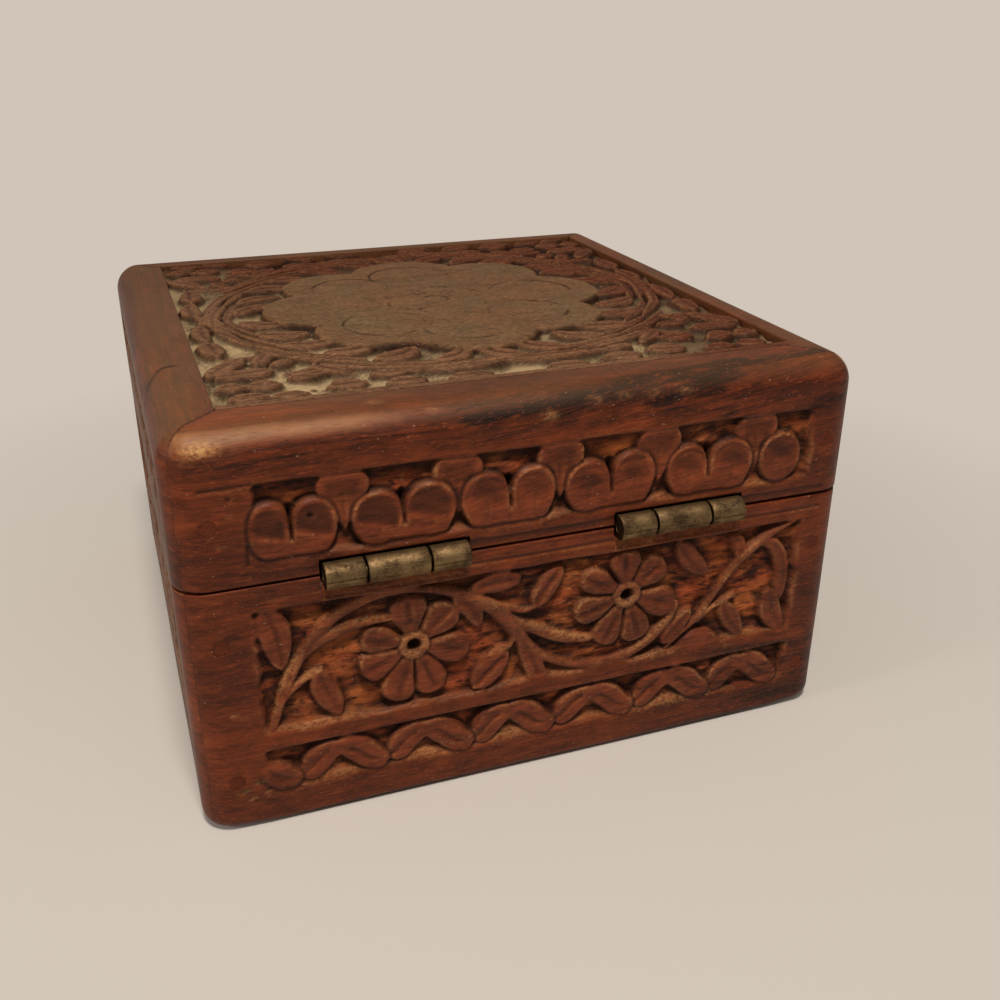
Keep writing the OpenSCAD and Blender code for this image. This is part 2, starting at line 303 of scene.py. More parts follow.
rightVine = (
    (((735, 45), (800, 150), (890, 232)), 1.75, -0.12, 0.3, leafShape, -1),
    (((680, 570), (750, 490), (822, 410)), 1.5, -0.2, 0.25),
    (((700, 592), (790, 522), (860, 468), (905, 405), (950, 340), (1000, 268), (1060, 195), (1130, 135),
      (1210, 85), (1340, 35)), (0.25, 0.3, 0.4, 0.4, 0.45, 0.55, 0.8, 0.95, 0.7, 0.3), -0.12, 0.1, 0.6),
    (((860, 488), (930, 425), (1050, 380)), (0.3, 0.5, 0.4), -0.25, 0.0, 1.0),
    (((985, 405), (1040, 505), (1108, 602)), 1.65, -0.15, 0.2, leafShape, -1),
    (((1245, 395), (1262, 510), (1330, 620)), 2.0, -0.15, 0.2),
    (((1130, 120), (1235, 145), (1292, 260), (1300, 420)), 1.35, -0.35, 0.0, bluntShape),
    (((1000, 60), (1045, 100), (1060, 170)), 1.2, -0.45, 0.0, bluntShape))
# each flower's petals: direction in degrees, length and half width
flowers = {
    "left": ((95.5, 8.0, 2.5), (41, 7.9, 2.4), (-17, 8.5, 2.2), (-70, 9.0, 2.3), (-110, 9.4, 2.4),
             (-159, 8.4, 2.4), (161, 7.9, 1.9)),
    "right": ((94, 7.4, 2.35), (39, 7.7, 2.3), (-23, 8.9, 2.3), (-75, 8.6, 2.4), (-117, 8.9, 2.25),
              (-166, 8.7, 2.1), (149, 8.6, 1.9)),
}


def carveVine(face, vine, move=0):
    for path, size, *rest in vine:
        points = [at(x + move, y) for x, y in path]
        (leaf if isinstance(size, float) else stem)(face, points, size, *rest)


def carveMain(face, rng):
    sinkField(face, 9.2, 94.4, 15.0, 34.6, 1.3, rng, slope=1.1, ends=1.3)
    carveVine(face, leftVine)
    flower(face, at(703, 318), flowers["left"])
    right = 1220  # how far the second flower and what goes with it stand from the first
    carveVine(face, rightVine, right)
    # a half leaf rises from the rib
    (x, y), wide, tall = at(870 + right, 640), 4.1, 3.6
    area, u, w = window(face, (x - wide, y - 1.4), (x + wide, y + tall + 0.5))
    settle(face, area, (1 - np.hypot((u - x) / wide, (w - y) / tall)) * tall, -0.06)
    flower(face, at(480 + right, 265), flowers["right"], top=-0.08)


def carveBorder(face, rng):
    # a wavy band of leaves, each of which falls over the one before it
    sinkField(face, 9.0, 94.2, 5.3, 12.4, 1.2, rng, slope=1.9, ends=0.9)
    tops = (6.4, 19.8, 32.8, 45.8, 59.3, 72.7, 85.7, 98.6)
    feet = (13.5, 26.2, 39.3, 52.4, 65.9, 79.4, 92.2)
    rising = (0.35, 0.7, 0.92, 1.0, 1.0, 0.95, 0.85, 0.72, 0.6)
    falling = (0.55, 0.74, 0.92, 1.0, 1.02, 1.02, 0.98, 0.9, 0.78)
    spots = ((0.12, 0.1), (0.32, 0.85), (0.55, 2.3), (0.8, 3.3), (1.05, 3.65))  # of a leaf's path
    for k, foot in enumerate(feet):
        low = 6.9 + rng.uniform(-0.12, 0.12)
        for way, top, shape in ((1, tops[k + 1], rising), (-1, tops[k], falling)):
            path = [(foot + way * f * abs(top - foot), low + rise) for f, rise in spots[::way]]
            path = [p for p in path if 9.3 < p[0] < 93.8]
            if len(path) < 2:
                continue
            half = 2.2 + rng.uniform(-0.06, 0.1)
            area, dist, t, side = nearPath(face, curve(path), half + 0.8)
            inside = half * widthAt(t, shape) - dist
            fold = np.clip(1 - dist / (1.1 * np.sin(np.pi * np.clip(t, 0.03, 0.97)) + 0.1), 0, 1)
            lean = ease(0.5 + way * side * dist / 0.3)
            high = -0.1 - 0.4 * fold * (0.2 + 0.8 * lean) - 0.12 * np.clip(dist / half, 0, 1) ** 3
            outlineCut(face, area, np.where((way > 0) | (t > 0.2), inside, 9), 0.28)
            settle(face, area, inside, high)
            fill(face.dark, inside > 0.08, 0.5 * fold * lean, area)
        chip(face, foot + 0.2, 7.3, 0.3, 0.3, 0.0, tan=0.8)


# the band on the lid: left and right end of each hanging lobe, and ends and notch of each pair of lobes below
hangingLobes = ((19.2, 26.2), (34.9, 41.9), (49.8, 56.9), (65.2, 72.1), (81.2, 88.1))
pairedLobes = ((10.0, 15.6, 21.8), (23.5, 30.7, 38.1), (38.7, 45.9, 52.6), (54.0, 61.2, 68.1),
               (69.9, 76.8, 84.2), (85.3, 92.6))


def carveBand(face, rng):
    sinkField(face, 10.6, 94.4, 42.0, 53.0, 1.25, rng, slope=0.9, ends=1.2)
    # painted shadow under the rail, weaker to the right
    under = ease((face.w[:, None] - 50.2) / 2) * (face.h < -0.4)
    atLeast(face.dark, 0.7 * under * (1 - 0.4 * ease((face.u[None, :] - 45) / 15)))
    for a, b in hangingLobes:
        c, half = (a + b) / 2, (b - a) / 2
        area, u, w = window(face, (c - half - 1, 44.6), (c + half + 1, 53.8))
        du, dw = np.abs(u - c) + 0 * w, w + 0 * u
        widths = (0.25, 1.5, half, half, half - 0.5, half - 1.3)
        taper = np.interp(dw, (45.0, 47.0, 50.2, 51.6, 52.6, 53.0), widths)
        inside = np.minimum(taper - du, 52.9 - dw)
        hollow = 0.3 * ease((inside - 0.5) / 0.9) * ease((dw - 46.5) / 2)
        facet = 0.18 * np.exp(-(((u - c + 0.2) / 0.2) ** 2)) * ease((50.5 - dw) / 0.8)
        # painted highlight round each lobe's rim, and painted shade in the upper part of its hollow
        settle(face, area, inside, -0.16 - hollow - facet, 0.35 * ease((0.35 - inside) / 0.25))
        fill(face.dark, inside > 0, 0.55 * ease((inside - 0.6) / 1.2) * ease((dw - 48.5) / 1.5), area)
    for ends in pairedLobes:
        a, b = ends[0], ends[-1]
        area, u, w = window(face, (a - 1, 41.3), (b + 1, 52))
        inside, sunk, shade = np.full((w.shape[0], u.shape[1]), -9.0), 0, 0
        lift = rng.uniform(-0.25, 0.25, 2)
        for left, right, up in zip(ends, ends[1:], lift):
            c, half, tall, cw = (left + right) / 2, (right - left) / 2, 3.95 + up * 0.5, 45.95 + up
            soft = 1.0 + 2.2 * (c > 40)  # the shade has a sharp lower edge at the left only
            r = (np.abs((u - c) / half) ** 2.2 + np.abs((w - cw) / tall) ** 2.2) ** (1 / 2.2)
            mine = (1 - r) * min(half, tall)
            inside = np.maximum(inside, mine)
            lean = 0.3 * (u - c)
            sunk = sunk + 0.36 * ease((mine - 0.5) / 0.4) * ease((w - cw + 1.6 + lean) / (1.1 * soft))
            facet = 0.16 * np.exp(-(((u - c - 0.15) / 0.2) ** 2))
            sunk = sunk + facet * ease((cw + 0.4 - w) / 0.8) * ease((w - 42.9) / 0.6)
            cover = 0.75 * ease((mine - 0.55) / (0.6 * soft))
            shade = shade + cover * ease((w - cw + 1.2 + lean) / (0.8 * soft))
        if len(ends) == 3:  # the two lobes share one rounded foot
            half, tall, r = (b - a) / 2 - 0.75, 1.6, 1.5
            du, dw = np.abs(u - (a + b) / 2) - (half - r), np.abs(w - 43.75) - (tall - r)
            foot = r - np.hypot(np.maximum(du, 0), np.maximum(dw, 0)) - np.minimum(np.maximum(du, dw), 0)
            inside = np.maximum(inside, np.minimum(foot, r))
        # painted highlight on the lobes' upper rims; below, their painted shade
        settle(face, area, inside, -0.06 - sunk, 0.35 * ease((0.32 - inside) / 0.22) * ease((w - 43.8) / 1.5))
        outlineCut(face, area, inside, 0.3)
        fill(face.dark, inside > 0.1, shade, area)
        if len(ends) == 3:
            notch, bottom = ends[1], 44.5 + 0.3 * (lift[0] - lift[1])
            groove(face, [(notch - 0.1, 49.0), (notch - 0.05, 47.4)], 0.7, 0.34)
            groove(face, [(notch - 0.08, 48.2), (notch, 46.2), (notch + 0.05, bottom)], 0.9, 0.15)
            chip(face, notch, bottom - 0.15, 0.3, 0.25, 0.0, tan=1.0)
    groove(face, [(3.4, 53.0), (7.0, 53.05), (11.0, 53.1)], 0.35, 0.16, lip=0.6)
    groove(face, [(93.5, 53.0), (95.2, 53.1)], 0.35, 0.14)
    groove(face, [(9.8, 44.6), (9.7, 42.0)], 0.5, 0.14)


def finishFace(face, rng, soften=0.1, reach=0.15):
    # softens the cuts; finds the ridges, with their painted highlight weighted to the upper left, the
    # hollows, which carry painted shade, and the steep walls, which it darkens as painted shade, most where
    # they face down
    pitch = facePitch(face)
    h = blur(face.h, pitch, soften)
    h += 0.012 * roughness(face, 1.2, 0.4, rng) * (0.4 + ease(-h / 0.5))
    h += 0.015 * roughness(face, 6, 3, rng)
    face.h = np.minimum(h, 0.0)
    wide, near, fine, wallSoft = (blur(h, pitch, radius) for radius in (0.9, 0.28, 0.1, reach))
    rise, run = np.gradient(near, *pitch)
    lit = 0.5 + 0.5 * (0.5 * run - 0.87 * rise) / np.maximum(np.hypot(rise, run), 1e-6)
    face.ridge = np.clip((fine - near) * (2.0 + 7.0 * lit), 0, 1)
    face.hollow = np.clip((wide - fine) * 2.4, 0, 1)
    face.level = ease((-wallSoft - 0.78) / 0.4)
    dw, du = np.gradient(wallSoft, *pitch)
    steep = blur(ease(np.hypot(du, dw) - 0.6), pitch, reach)
    down = 0.5 + 0.5 * dw / np.maximum(np.hypot(du, dw), 1e-6)
    atLeast(face.dark, np.clip(steep * (0.3 + 0.6 * down) * (0.5 + 3.6 * reach), 0, 1))


middle = (51.7, 53.2)  # centre of the medallion on the top


def around(radius, degrees):
    a = np.radians(degrees)
    return middle[0] + radius * np.cos(a), middle[1] + radius * np.sin(a)


# leaves of one corner: path from the medallion's centre outward, and half width
cornerLeaves = (
    (((40.5, 2.9), (40.9, 7.0), (40.3, 11.4)), 1.8), (((40.6, 13.0), (40.0, 20.4)), 2.1),
    (((42.6, 29.4), (37.0, 23.0)), 1.9), (((41.2, 30.6), (33.4, 29.8)), 2.0),
    (((42.0, 35.4), (38.6, 35.8)), 2.2), (((37.6, 35.4), (33.2, 36.0)), 2.2),
    (((40.6, 40.7), (35.9, 40.3)), 1.8), (((35.0, 40.9), (30.4, 40.5)), 1.6),
    (((27.2, 39.2), (22.0, 38.6)), 2.7), (((19.4, 40.4), (13.6, 40.0)), 2.1),
    (((10.6, 41.2), (4.4, 40.9)), 1.8), (((31.6, 33.6), (26.4, 33.0)), 1.7),
    (((35.4, 26.0), (32.6, 21.6)), 1.5), (((27.2, 29.4), (22.6, 34.4)), 1.5),
    (((29.8, 26.2), (33.6, 27.4)), 1.3), (((20.4, 35.6), (15.2, 36.6)), 1.3))
cornerStems = (  # path and height
    (((26.6, 27.0), (28.5, 30.6), (32.0, 31.6)), -0.35), (((31.4, 21.5), (35.6, 21.6), (39.5, 22.0)), -0.4))
# the long strokes of the rings: three distances from the centre, half width, and degrees of lag
ringStrokes = ((39.2, 37.9, 36.2, 1.05, 0.0), (36.6, 35.2, 33.8, 0.85, 6.0))


def carveTop(face, rng):
    u, w = face.u[None, :], face.w[:, None]
    wave = 0.15 * roughness(face, 2, 2, rng)
    down = ease((w - 10.3 + wave) / 0.35)
    chops = roughness(face, 1.0, 0.7, rng) + 0.6 * roughness(face, 0.4, 0.35, rng)
    face.ground = np.minimum(-1.4 * down + 0.14 * down * chops, 0)
    face.h = face.ground.copy()
    for sx, sy in ((-1, -1), (-1, 1), (1, -1), (1, 1)):  # the corners, outside the rings
        def place(path):
            return [(middle[0] + sx * x + rng.uniform(-0.3, 0.3), middle[1] + sy * y + rng.uniform(-0.3, 0.3))
                    for x, y in path]
        for path, half in cornerLeaves:
            leaf(face, place(path), half * rng.uniform(0.9, 1.02), rng.uniform(-0.3, -0.08), 0.2, lozenge,
                 veinWidth=0.8, belly=0.05)
        for path, height in cornerStems:
            stem(face, place(path), (0.5, 0.6, 0.4), height)
    # long strokes fan out from the crossings at the left and the right and make the two rings
    for start, way in ((0, 1), (0, -1), (180, 1), (180, -1)):
        for k in range(5):
            for *radii, half, lag in ringStrokes:
                d = -10 + 19 * k + lag + rng.uniform(-1, 1)
                path = [around(r, start + way * (d + turn)) for r, turn in zip(radii, (0, 13, 27))]
                leaf(face, path, half, rng.uniform(-0.3, -0.1), 0.3, veinWidth=0.6, belly=0.25)
        spur = ((41.4, -7), (40.0, -1), (38.6, 7), (37.6, 18))
        stem(face, [around(r, start + way * d) for r, d in spur], (0.5, 0.9, 0.8, 0.4), -0.2, roundness=0.5)
    for k in range(26):  # wreath of leaves between the rings and the medallion
        d = (k + 0.5) * 360 / 26 + rng.uniform(-1.8, 1.8)
        way = 1 if np.sin(np.radians(2 * d)) > 0 else -1
        path = [around(34.2, d - way * 3.6), around(31.6, d + way * 1.8), around(28.0, d + way * 4.6)]
        leaf(face, path, rng.uniform(1.9, 2.5), rng.uniform(-0.3, -0.08), 0.3, lozenge, belly=0.15)
    # the flat medallion with eight lobes, worn smooth over its scratched petals
    du, dw = u - middle[0], w - middle[1]
    away = np.hypot(du, dw)
    inside = 19.5 - away
    for k in range(8):
        a, odd = np.radians(45 * k), k % 2
        out = 19.4 + 0.8 * odd
        inside = np.maximum(inside, 10.8 - 0.9 * odd - np.hypot(du - out * np.cos(a), dw - out * np.sin(a)))
    settle(face, ..., inside, -0.03)
    fill(face.dark, inside > 0, 0)
    worn = ease(0.3 + 0.6 * roughness(face, 2.0, 1.4, rng))
    # scratched circles: radius, distance from the centre, degrees and strength
    outer, inner = np.where(away > 16, 1.0, 0.35), np.where(away > 4, 0.9, 0.2)
    circles = [(2.1, 0, 0, 0.8)] + [(7.4 - 0.7 * (k % 2), 17.6, 45 * k, outer) for k in range(8)]
    for r, out, degrees, strength in circles + [(3.6, 5.6, 60 * k + 20, inner) for k in range(6)]:
        a = np.radians(degrees)
        line = np.hypot(du - out * np.cos(a), dw - out * np.sin(a)) - r
        mark = np.exp(-((line / 0.24) ** 2)) * worn * strength * (inside > 0.6)
        face.h -= 0.25 * mark
        atLeast(face.dark, 0.75 * mark)
    for x, y in ((22.7, 15.5), (24.0, 15.2), (33.0, 24.9)):
        chip(face, x, y, 0.7, 0.8, 0.7, dark=1.0)
    face.flat = ease(inside / 0.4 + 0.5)


def sample(face, layer, u, w):
    # value of one layer of a face at any place
    grid = getattr(face, layer)
    x, y = (np.clip((spot - line[0]) / (line[1] - line[0]), 0, len(line) - 1.001)
            for spot, line in ((u, face.u), (w, face.w)))
    i, j = x.astype(int), y.astype(int)
    fx, fy = x - i, y - j
    low = grid[j, i] * (1 - fx) + grid[j, i + 1] * fx
    return low * (1 - fy) + (grid[j + 1, i] * (1 - fx) + grid[j + 1, i + 1] * fx) * fy


# the four sides: how fine, which hand the carving has, and its seed
sides = {
    "back": {"pitch": 0.208, "mirrored": False, "seed": 7},
    "right": {"pitch": 0.27, "mirrored": True, "seed": 21},
    "left": {"pitch": 0.27, "mirrored": False, "seed": 33},
    "front": {"pitch": 0.27, "mirrored": True, "seed": 45},
}
carvedLayers = ("h", "tan", "dark", "ridge", "hollow", "fresh")

# wear of the back: scored lines (height and ends), small nicks (place and width), chips (place, width,
# height and depth, how dark and how pale) and splinters (place, width, height and depth)
scores = ((40.2, 10, 19.4), (40.2, 39.3, 62.4), (40.2, 82.2, 101), (36.7, 12, 19.2), (36.7, 39.3, 62.3),
          (36.7, 82.3, 97))
nicks = ((4.2, 47.6, 0.9), (5.0, 48.6, 0.7), (6.6, 45.0, 1.1), (5.2, 46.6, 0.6), (7.9, 49.2, 0.6),
         (10.4, 12.0, 0.5), (5.8, 19.5, 0.8), (7.0, 18.8, 0.6), (4.4, 24.6, 0.4))
chips = ((6.6, 31.6, 1.3, 0.7, 0.05, 0.6), (18.2, 47.5, 0.55, 0.5, 0.5, 1.0),
         (8.0, 51.5, 0.4, 0.35, 0.3, 0.8), (30.8, 50.5, 0.45, 0.9, 0.15, 0, 1.0),
         (18.7, 57.1, 0.7, 0.35, 0.12, 0, 0.9), (82.7, 14.3, 0.7, 0.4, 0.3, 0, 1.0))
splinters = ((6.0, 6.4, 1.2, 0.6, 0.35), (8.2, 7.4, 0.9, 0.7, 0.4), (7.0, 5.0, 0.8, 0.4, 0.25),
             (9.3, 5.6, 0.7, 0.5, 0.4))


def marksOfUse(face):
    for w, a, b in scores:
        strength = 0.5 if a < 20 else 1.0
        line = [(a, w), ((a + b) / 2, w - 0.06), (b, w + 0.03)]
        groove(face, line, 0.3 * strength, 0.14, 0.9 * strength, 0.55)
    for x, y, wide in nicks:
        chip(face, x, y, wide, 0.3, 0.12, tan=0.9)
    for row in chips:
        chip(face, *row)
    for x, y, wide, tall, depth in splinters:
        chip(face, x, y, wide, tall, depth, tan=1.2)
        chip(face, x + 0.5, y - 0.4, wide * 0.7, 0.22, 0.1, dark=0.9)


def carveSide(side):
    pitch = sides[side]["pitch"]
    rng = np.random.default_rng(sides[side]["seed"])
    face = makeFace(np.arange(0, 2 * case["half"] + 0.01, pitch), np.arange(0, case["height"] + 0.01, pitch))
    for carve in (carveBorder, carveMain, carveBand):
        carve(face, rng)
    if side == "back":
        marksOfUse(face)
    finishFace(face, rng)
    if sides[side]["mirrored"]:
        for layer in carvedLayers:
            setattr(face, layer, getattr(face, layer)[:, ::-1].copy())
    return face


# boards: a grid wrapped round the board's section, with its carving pushed in

def spread(a, b, pitch):
    return list(np.linspace(a, b, max(int(round(abs(b - a) / pitch)), 1) + 1)[:-1])


def rounded(d, z, kind, flipD, flipZ, start, steps):
    # rows round a corner of the section at (d, z), whose radius is that of the kind
    rows = []
    for k in range(steps + 1):
        a = math.radians(90) * k / steps
        way = (1 - math.sin(a), 1 - math.cos(a))
        across, up = way if start == "flat" else way[::-1]
        rows.append((d, z, kind, flipD * across, flipZ * up, 1.0))
    return rows


def plainRows(fixed, places, across, weight=0.35):
    # rows along a straight part of the section: d runs and z stays, or the other way
    return [(p, fixed, None, 0, 0, weight) if across else (fixed, p, None, 0, 0, weight) for p in places]


def wallRows(pitch):
    seam, wall, floor, lap = case["seam"], case["wall"], case["floor"], case["floorEdge"]
    rows = plainRows(0, (lap, 5.6, 4.8, 4.0), True)
    rows += rounded(0, 0, "foot", 1, 1, "flat", 6)
    heights = [3.9, 4.5] + spread(5.0, 12.8, pitch) + spread(12.8, 14.6, 0.45) + spread(14.6, 38.0, pitch)
    rows += plainRows(0, heights, False, 1.0)
    rows += rounded(0, seam, "rim", 1, -1, "side", 4)
    rows += plainRows(seam, (0.7, 1.0, 1.3, 1.6, 2.0, 2.6, 4.2, 6.0, 7.6, 7.62, 7.66, 7.7, 9.0, 10.0), True)
    rows += rounded(wall, seam, "inner", -1, -1, "flat", 3)
    rows += plainRows(wall, (38.0, 36.0, 30.0, 24.0, 18.0, 12.0, 8.0, 6.3), False)
    rows += plainRows(floor, (wall, 8.4), True) + plainRows(lap, (floor, 4.0, 2.0, 0.0), False)
    return rows


def railRows(pitch):
    low, wall, top, edge = case["lidLow"], case["wall"], case["height"], case["topRound"]
    rows = plainRows(wall, (case["panelLow"], 50.0, 46.0, 42.0, 40.0, 39.6), False)
    rows += rounded(wall, low, "inner", -1, 1, "side", 3)
    rows += plainRows(low, (10.0, 9.0, 7.7, 7.66, 7.62, 7.6, 6.0, 4.2, 2.6, 2.0, 1.6, 1.3, 1.15), True)
    rows += rounded(0, low, "rim", 1, 1, "flat", 4)
    rows += plainRows(0, spread(40.2, 53.6, pitch) + [53.6, 54.2, 54.8, 55.4], False, 1.0)
    rows += rounded(0, top, "top", 1, -1, "side", 12)
    rows += [(edge * (1 - f), top, "border", f, 0, 0.9) for f in (0.25, 0.5, 0.75, 0.92)]
    rows += [(-0.12, top, "border", 1, 0, 0.9), (0, top - 0.12, "border", 1, 0, 0.5)]
    rows += [(0, z, "border", 1, 0, 0.35) for z in (60.1, 59.6, 58.6, 56.0, case["panelLow"])]
    return rows + plainRows(case["panelLow"], (9.6, wall), True)


def runColumns(pitch, extra):
    flat = case["half"] - case["cornerRound"]
    bend = flat + np.linspace(0, case["cornerRound"] * math.pi / 4, 9)[1:]
    straight = np.linspace(-flat, flat, int(round(2 * flat / pitch)) + 1)
    return np.unique(np.round(np.concatenate([-bend, straight, bend, extra]), 4))


hinge = {
    "centres": (-21.5, 21.5),
    "half": 10.1,  # half the length of a leaf
    "axisY": 51.2,
    "axisZ": 38.8,
    "barrel": 3.79,
    "notch": 2.3,  # radius of the room for the barrel
    "room": 10.5,  # half its length
    "mortise": 10.14,  # half its length
    "leafWidth": 8.0,
    "leafThick": 0.9,
    "middleHalf": 4.3,  # half the length of the middle knuckle
    "knuckleGap": 0.3,
    "pin": 1.4,
    "bore": 1.5,
    "screwAlong": 6.0,
    "screwY": 46.24,
    "screwHead": 3.0,
    "screwShank": 1.6,
    "screwLength": 7.0,
    "threads": 9,
    "slotHalf": 0.24,
    "slotDepth": 0.42,
}
plugs = {"x": 45.6, "body": (8.2, 30.3), "lid": (47.8,), "radius": 1.3, "thick": 1.2}


def radiiAlong(side, lid, s):
    # how round the edges are at each column, in mm
    half, borders = case["half"], case["borders"]
    end = np.clip((np.abs(s) - 40) / (half - 41), 0, 1)
    foot = case["endRound"] if side in ("left", "right") else case["footRound"]
    radii = {None: 0 * s, "foot": foot + (case["cornerFoot"] - foot) * ease(end), "inner": 0.25 + 0 * s,
             "top": case["topRound"] + 0 * s, "rim": 0.22 + 0 * s}
    u = s + half
    if side == "back":
        radii["rim"] = 0.12 + 0.3 * ease(u / 100)
        if lid:
            radii["rim"] = radii["rim"] + 0.25 * ease((6 - u) / 6)
    # a narrow rail's rabbet ends where its wide neighbour's begins
    order = ("right", "back", "left", "front")
    k = order.index(side)
    border = np.full(s.shape, borders[side])
    for neighbour, way in ((order[(k + 1) % 4], 1), (order[k - 1], -1)):
        wide = borders[neighbour]
        border = np.where(way * s > half - wide, np.maximum(border, wide), border)
    radii["border"] = border
    return radii


def wrapBoard(name, side, lid, face, rng):
    pitch, half, corner = sides[side]["pitch"], case["half"], case["cornerRound"]
    back = side == "back"
    centres = hinge["centres"] if back else ()
    s = runColumns(pitch, [c + way * (reach + off) for c in centres for way in (-1, 1)
                           for reach in (hinge["mortise"], hinge["room"]) for off in (-0.03, 0.03)])
    rows = railRows(pitch) if lid else wallRows(pitch)
    radii = radiiAlong(side, lid, s)
    d = np.array([row[0] + row[3] * radii[row[2]] for row in rows])
    z = np.array([row[1] + row[4] * radii[row[2]] for row in rows])
    run = np.broadcast_to(s, d.shape)
    u = run + half
    flat = half - corner
    outer = (d < 0.6) & (z > 3.6) & (z < 57)
    carved = outer * ease((flat + 0.3 - np.abs(run)) / 0.5)
    layers = {layer: sample(face, layer, u, z) * carved for layer in carvedLayers}
    deep = -layers.pop("h")
    tan, dark = layers["tan"], layers["dark"]
    if side in ("back", "front"):
        for x in (-plugs["x"], plugs["x"]):
            for height in plugs["lid" if lid else "body"]:
                away = np.hypot(run - x, z - height)
                deep = np.maximum(deep, outer * 0.45 * ease((1.12 - away) / 0.2))
    for c in centres:
        mortise = (np.abs(run - c) <= hinge["mortise"]) & (d < 7.64)
        if lid:
            z = np.where(mortise & (z < case["lidLow"] + 0.8), np.maximum(z, case["lidLow"] + 0.93), z)
        else:
            facet = 0.9 * np.clip((z - 34.8) / 1.5, 0, 1) * ease((9.9 + 0.15 - np.abs(run - c + 0.2)) / 0.15)
            deep = np.maximum(deep, facet * outer)
            atLeast(tan, 0.5 * outer * (facet > 0.02) * (facet < 0.8))
            z = np.where(mortise & (z > case["seam"] - 0.8), np.minimum(z, case["seam"] - 0.93), z)
    # worn by hand: nothing is quite straight
    x1, x2, _ = rng.uniform(0, 6, 3)
    wavy = 0.05 + 0.03 * np.sin(run / 9 + x1) + 0.02 * np.sin(z / 5 + run / 23 + x2)
    d = d + deep + np.where((d < 4.7) & (deep < 0.3), wavy, 0.0)
    for c in centres:  # room for the barrels
        dy, dz = d + hinge["axisY"] - half, z - hinge["axisZ"]
        away = np.maximum(np.hypot(dy, dz), 1e-6)
        room = (np.abs(run - c) <= hinge["room"]) & (away < hinge["notch"])
        d = np.where(room, dy / away * hinge["notch"] - hinge["axisY"] + half, d)
        z = np.where(room, dz / away * hinge["notch"] + hinge["axisZ"], z)
        # painted shade in the room round the barrel
        atLeast(dark, 0.6 * room)
    # place in the plan: straight, then round the corner, and cut off at the mitre
    bend = np.maximum(np.abs(run) - flat, 0) / corner
    radius = np.maximum(corner - d, 0)
    out = np.minimum(half - d, flat + radius * np.cos(bend))
    along = np.sign(run) * (np.minimum(np.abs(run), flat) + radius * np.sin(bend))
    along = np.clip(along, -(out - case["mitreGap"]), out - case["mitreGap"])
    if lid:
        z = np.where(z > 60.4, z - 0.01, z)
    turn = math.radians(case["facing"][side])
    sine, cosine = math.sin(turn), math.cos(turn)
    co = np.stack([out * cosine - along * sine, out * sine + along * cosine, z], -1)
    joint = np.exp(-(((out - np.abs(along)) / 0.22) ** 2)) * (d < 11)
    atLeast(dark, joint * (0.25 + 0.55 * ease((z - 58) / 2)))
    atLeast(dark, np.minimum(1.5 * crackMask(side, lid, run, d, z), 1))
    if back and lid:  # worn pale at its left end, with a few pale crumbs
        atLeast(tan, 2.1 * np.exp(-(((u - 5.2) / 3.0) ** 2) - ((z + d - 59.2) / 1.6) ** 2))
        for spot, height in crumbs:
            atLeast(tan, 0.9 * np.exp(-(((u - spot) / 1.1) ** 2) - ((z + d - height) / 0.7) ** 2))
    # dust and painted sheen on the rail tops and on the outer face of the right side
    hazy = ease((z - 57.4) / 2.6) * lid * (0.6 + 0.4 * ease((60 - u) / 50) if back else 1.0)
    layers.update({
        "relief": np.clip(deep * carved, 0, 2),
        "edge": edgeWear(side, lid, run, d, z, deep),
        "dusty": np.maximum(hazy, outer * (side == "right") * ease((flat + 1 - np.abs(run)) / 2)),
        "amber": amberZones(side, lid, u, z),
        "inside": ((d > 9.9) & (z < 59)) * 1.0,
        "streaky": streaks(side, lid, u, z, d)})
    slant = 0.1 * np.maximum(u - 38, 0) * (back and lid)  # the grain runs out of this rail
    board = np.stack([run + 137.0 * sides[side]["seed"], z - slant, d - slant], -1)
    lengths = np.hypot(np.diff(d[:, 0]), np.diff(z[:, 0])) * np.array([row[5] for row in rows[1:]])
    wide = np.concatenate([[0], np.cumsum(np.diff(s))])
    tall = np.concatenate([[0], np.cumsum(np.maximum(lengths, 0.02))])
    mesh = gridMesh(name, co, (0.01 + 0.98 * wide / wide[-1], 0.1 + 0.89 * tall / tall[-1]), layers, board)
    closeEnds(mesh)
    return makePiece(name, mesh)


def edgeWear(side, lid, run, d, z, deep):
    # how near a worn edge each point is
    seam = case["lidLow"] if lid else case["seam"]
    wear = np.exp(-((np.abs(z - seam) / 0.5) ** 2)) * (d < 0.8) * (0.2 if side == "back" else 0.5)
    corner = ease((np.abs(run) - 46.6) / 1.6) * (d < 2) * {"back": 0.3, "right": 0.0}.get(side, 0.8)
    top = np.exp(-(((d - 1.7) / 1.2) ** 2)) * (z > 56) * lid
    if side == "back":
        top = top * ease((46 - run - case["half"]) / 26)
    if side == "right":
        top = top * 0.3
    foot = np.exp(-((z / 1.6) ** 2)) * (d < 2.4)
    return np.clip(np.maximum.reduce([wear, 0.6 * corner, 0.8 * top, 0.35 * foot]) * (deep < 0.2), 0, 1)


# the crack over the rounding of the right rail: along the board, depth in it and height
crack = np.array([(21.8, 5.2, 60.5), (22.1, 3.3, 60.2), (25.5, 1.3, 58.9), (30.5, 0.3, 57.0),
                  (33.8, 0.0, 53.0)])


def crackMask(side, lid, run, d, z):
    if side != "right" or not lid:
        return 0 * z
    spot = np.stack([run + 0 * z, d, z], -1)
    best = np.full(z.shape, 1e9)
    for a, b in zip(crack, crack[1:]):
        t = np.clip((spot - a) @ (b - a) / ((b - a) @ (b - a)), 0, 1)
        best = np.minimum(best, np.linalg.norm(spot - a - t[..., None] * (b - a), axis=-1))
    return np.exp(-((best / 0.36) ** 2))


